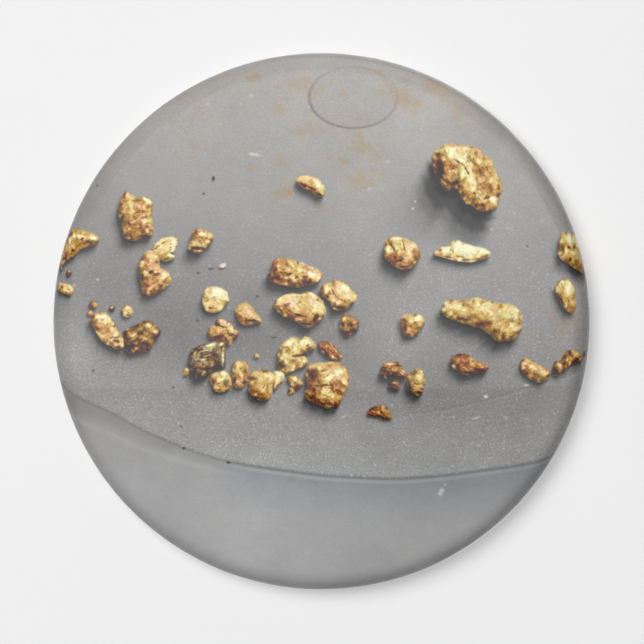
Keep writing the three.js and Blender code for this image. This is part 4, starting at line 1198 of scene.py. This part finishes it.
# bright rolled tinplate: fine streaks along the sheet, and a little staining
def makeTinplate():
    material, place, output = startMaterial("rolledTinplate")
    streaks = place.noise(0.5 * mm, 3, 0.6, (0.03, 1, 1))
    stains = place.noise(6 * mm, 4, 0.6)
    colour = stains.between(0.35, 0.7).blend(lightFrom((206, 208, 210)), lightFrom((184, 184, 182)))
    bump = place.node("ShaderNodeBump", None, {
        "Strength": 0.3, "Distance": 0.00001, "Height": streaks})
    surface = place.node("ShaderNodeBsdfPrincipled", None, {
        "Base Color": (0.9 + streaks * 0.2).scaled(colour), "Metallic": 1.0,
        "Roughness": 0.2 + streaks * 0.16 + stains * 0.12, "Normal": bump})
    finishMaterial(surface, output)
    return material


# matt flexible magnet: dark ferrite rubber with faint rolling streaks and dust
def makeMagnetRubber():
    material, place, output = startMaterial("magnetRubber")
    streaks = place.noise(0.9 * mm, 3, 0.6, (1, 1, 0.04))
    grains = place.noise(0.16 * mm, 2, 0.6)
    dust = place.noise(5 * mm, 4, 0.7).between(0.5, 0.75)
    colour = (0.55 * streaks + 0.3 * grains).blend(lightFrom((50, 46, 43)), lightFrom((84, 78, 73)))
    colour = (dust * 0.3).blend(colour, lightFrom((120, 114, 106)))
    height = streaks * 0.6 + grains * 0.5
    bump = place.node("ShaderNodeBump", None, {
        "Strength": 0.5, "Distance": 0.00003, "Height": height})
    surface = place.node("ShaderNodeBsdfPrincipled", None, {
        "Base Color": colour, "Roughness": 0.62 + grains * 0.2 + dust * 0.1, "Normal": bump,
        "Specular IOR Level": 0.35})
    finishMaterial(surface, output)
    return material


# milky double-sided adhesive with tiny bubbles
def makeAdhesive():
    material, place, output = startMaterial("milkyAdhesive")
    bubbles = place.node("ShaderNodeTexVoronoi", None, {"Vector": place, "Scale": 1 / (0.5 * mm)})
    cloud = place.noise(2.5 * mm, 3)
    colour = cloud.blend(lightFrom((236, 232, 218)), lightFrom((214, 206, 186)))
    bump = place.node("ShaderNodeBump", None, {
        "Strength": 0.3, "Distance": 0.00002, "Height": bubbles})
    surface = place.node("ShaderNodeBsdfPrincipled", None, {
        "Base Color": colour, "Roughness": 0.36 + cloud * 0.2, "Normal": bump})
    finishMaterial(surface, output)
    return material


tinplate, adhesive = makeTinplate(), makeAdhesive()
for piece, material in ((filmPiece, makeFilm()), (paperPiece, makePrint()), (platePiece, tinplate),
                        (magnetPiece, makeMagnetRubber())):
    piece.data.materials.clear()
    piece.data.materials.append(material)
for name, material in (("front_shell", tinplate), ("adhesive_disc", adhesive)):
    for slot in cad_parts[name].material_slots:
        slot.material = material
print("materials made")

# a pale steel door behind the magnet, seen only from the front, and a pale floor below
stage = {
    "doorTone": 0.8,
    "doorGap": 0.05 * mm,
    "doorSize": 1.6,
    "floorDrop": 0.062,
    "roomLight": 0.05,
    "seenRoom": 0.8,
    "paleRoom": 1.1,
    "dimRoom": 0.05,
}


def makeStageSheet(name, size, place, turn):
    bpy.ops.object.select_all(action="DESELECT")
    bpy.ops.mesh.primitive_plane_add(size=size, location=place, rotation=turn)
    sheet = bpy.context.object
    sheet.name = name
    bpy.ops.object.transform_apply(location=True, rotation=True, scale=True)
    return sheet


def makePaleWall(name, tone, oneSided):
    material, place, output = startMaterial(name)
    paint = place.node("ShaderNodeBsdfDiffuse", None, {"Color": (tone, tone, tone, 1)})
    if oneSided:
        behind = place.node("ShaderNodeNewGeometry", None, None, 6)
        clear = place.node("ShaderNodeBsdfTransparent")
        paint = place.node("ShaderNodeMixShader", None, {0: behind, 1: paint, 2: clear})
    finishMaterial(paint, output)
    return material


door = makeStageSheet("door", stage["doorSize"], (0, stage["doorGap"], 0), (math.radians(90), 0, 0))
door.data.materials.append(makePaleWall("doorPaint", stage["doorTone"], True))
door.visible_shadow = False
door.visible_diffuse = False
floor = makeStageSheet("floor", stage["doorSize"], (0, 0, -stage["floorDrop"]), (0, 0, 0))
floor.data.materials.append(makePaleWall("floorPaint", stage["doorTone"], False))
floor.visible_diffuse = False

world = bpy.data.worlds.new("paleRoom")
world.use_nodes = True
bpy.context.scene.world = world
worldTree = world.node_tree
worldTree.nodes.clear()
ray = Wire(worldTree, worldTree.nodes.new("ShaderNodeLightPath").outputs["Is Camera Ray"])
glossRay = Wire(worldTree, ray.socket.node.outputs["Is Glossy Ray"])
# the room that the gloss mirrors is pale at the upper left and dim at the lower right
across = ray.node("ShaderNodeVectorMath", {"operation": "DOT_PRODUCT"}, {
    0: ray.node("ShaderNodeTexCoord"), 1: (0.77, 0, -0.64)}, 1)
mirrored = stage["dimRoom"] + (stage["paleRoom"] - stage["dimRoom"]) * across.between(0.25, 0.05)
room = ray.node("ShaderNodeBackground", None, {
    "Color": (1, 1, 1, 1), "Strength": stage["roomLight"] + ray * stage["seenRoom"] + glossRay * mirrored})
worldOutput = worldTree.nodes.new("ShaderNodeOutputWorld")
worldTree.links.new(room.socket, worldOutput.inputs["Surface"])

# each light: where it stands, its size, its power, and whether it throws shadows or shows in the gloss
lights = {
    "softKey": {"place": (-0.473, -1.028, 0.397), "size": 0.85, "power": 9.3, "shadow": True, "gloss": False},
    "frontFill": {"place": (0, -1.5, 0), "size": 0.8, "power": 12.4, "shadow": False, "gloss": False},
    "backFill": {"place": (0.25, 0.7, 0.3), "size": 0.7, "power": 4.0, "shadow": True, "gloss": True},
    "overhead": {"place": (0.1, -0.1, 0.8), "size": 0.6, "power": 0.8, "shadow": True, "gloss": True},
}


def addRoundLight(name, place, size, energy):
    data = bpy.data.lights.new(name, "AREA")
    data.shape = "DISK"
    data.size = size
    data.energy = energy
    lamp = bpy.data.objects.new(name, data)
    bpy.context.collection.objects.link(lamp)
    lamp.location = place
    lamp.visible_camera = False
    return lamp


for name, light in lights.items():
    lamp = addRoundLight(name, light["place"], light["size"], light["power"])
    lamp.data.use_shadow = light["shadow"]
    lamp.rotation_euler = (-lamp.location).to_track_quat("-Z", "Y").to_euler()
    lamp.visible_glossy = light["gloss"]

# round lights that show only in the gloss, as a pale veil; the floor hides their lower part from it
veils = {
    "glossVeil": {"distance": 0.6, "radius": 0.247, "shift": (0.0046, -0.0038), "radiance": 1.6},
    "glossVeilMiddle": {"distance": 0.6, "radius": 0.19, "shift": (0.0485, -0.0403), "radiance": 1.1},
    "glossVeilEdge": {"distance": 0.6, "radius": 0.13, "shift": (0.0947, -0.0787), "radiance": 1.1},
}
for name, veil in veils.items():
    place = (veil["shift"][0], -veil["distance"], veil["shift"][1])
    energy = veil["radiance"] * math.pi**2 * veil["radius"] ** 2
    lamp = addRoundLight(name, place, 2 * veil["radius"], energy)
    lamp.rotation_euler = (math.radians(90), 0, 0)
    lamp.visible_diffuse = False

# straight in front of the print
view = {"lens": 200, "sensor": 36, "distance": 0.3797, "rimDepth": 1.5 * mm,
        "shift": (0.05 * mm, -0.085 * mm)}
cameraData = bpy.data.cameras.new("frontCamera")
cameraData.lens = view["lens"]
cameraData.sensor_width = view["sensor"]
cameraData.clip_start = 0.01
camera = bpy.data.objects.new("frontCamera", cameraData)
bpy.context.collection.objects.link(camera)
camera.location = (view["shift"][0], -view["distance"] - view["rimDepth"], view["shift"][1])
camera.rotation_euler = (math.radians(90), 0, 0)
bpy.context.scene.camera = camera
bpy.context.scene.view_settings.view_transform = "Standard"
print("stage, lights and camera set")
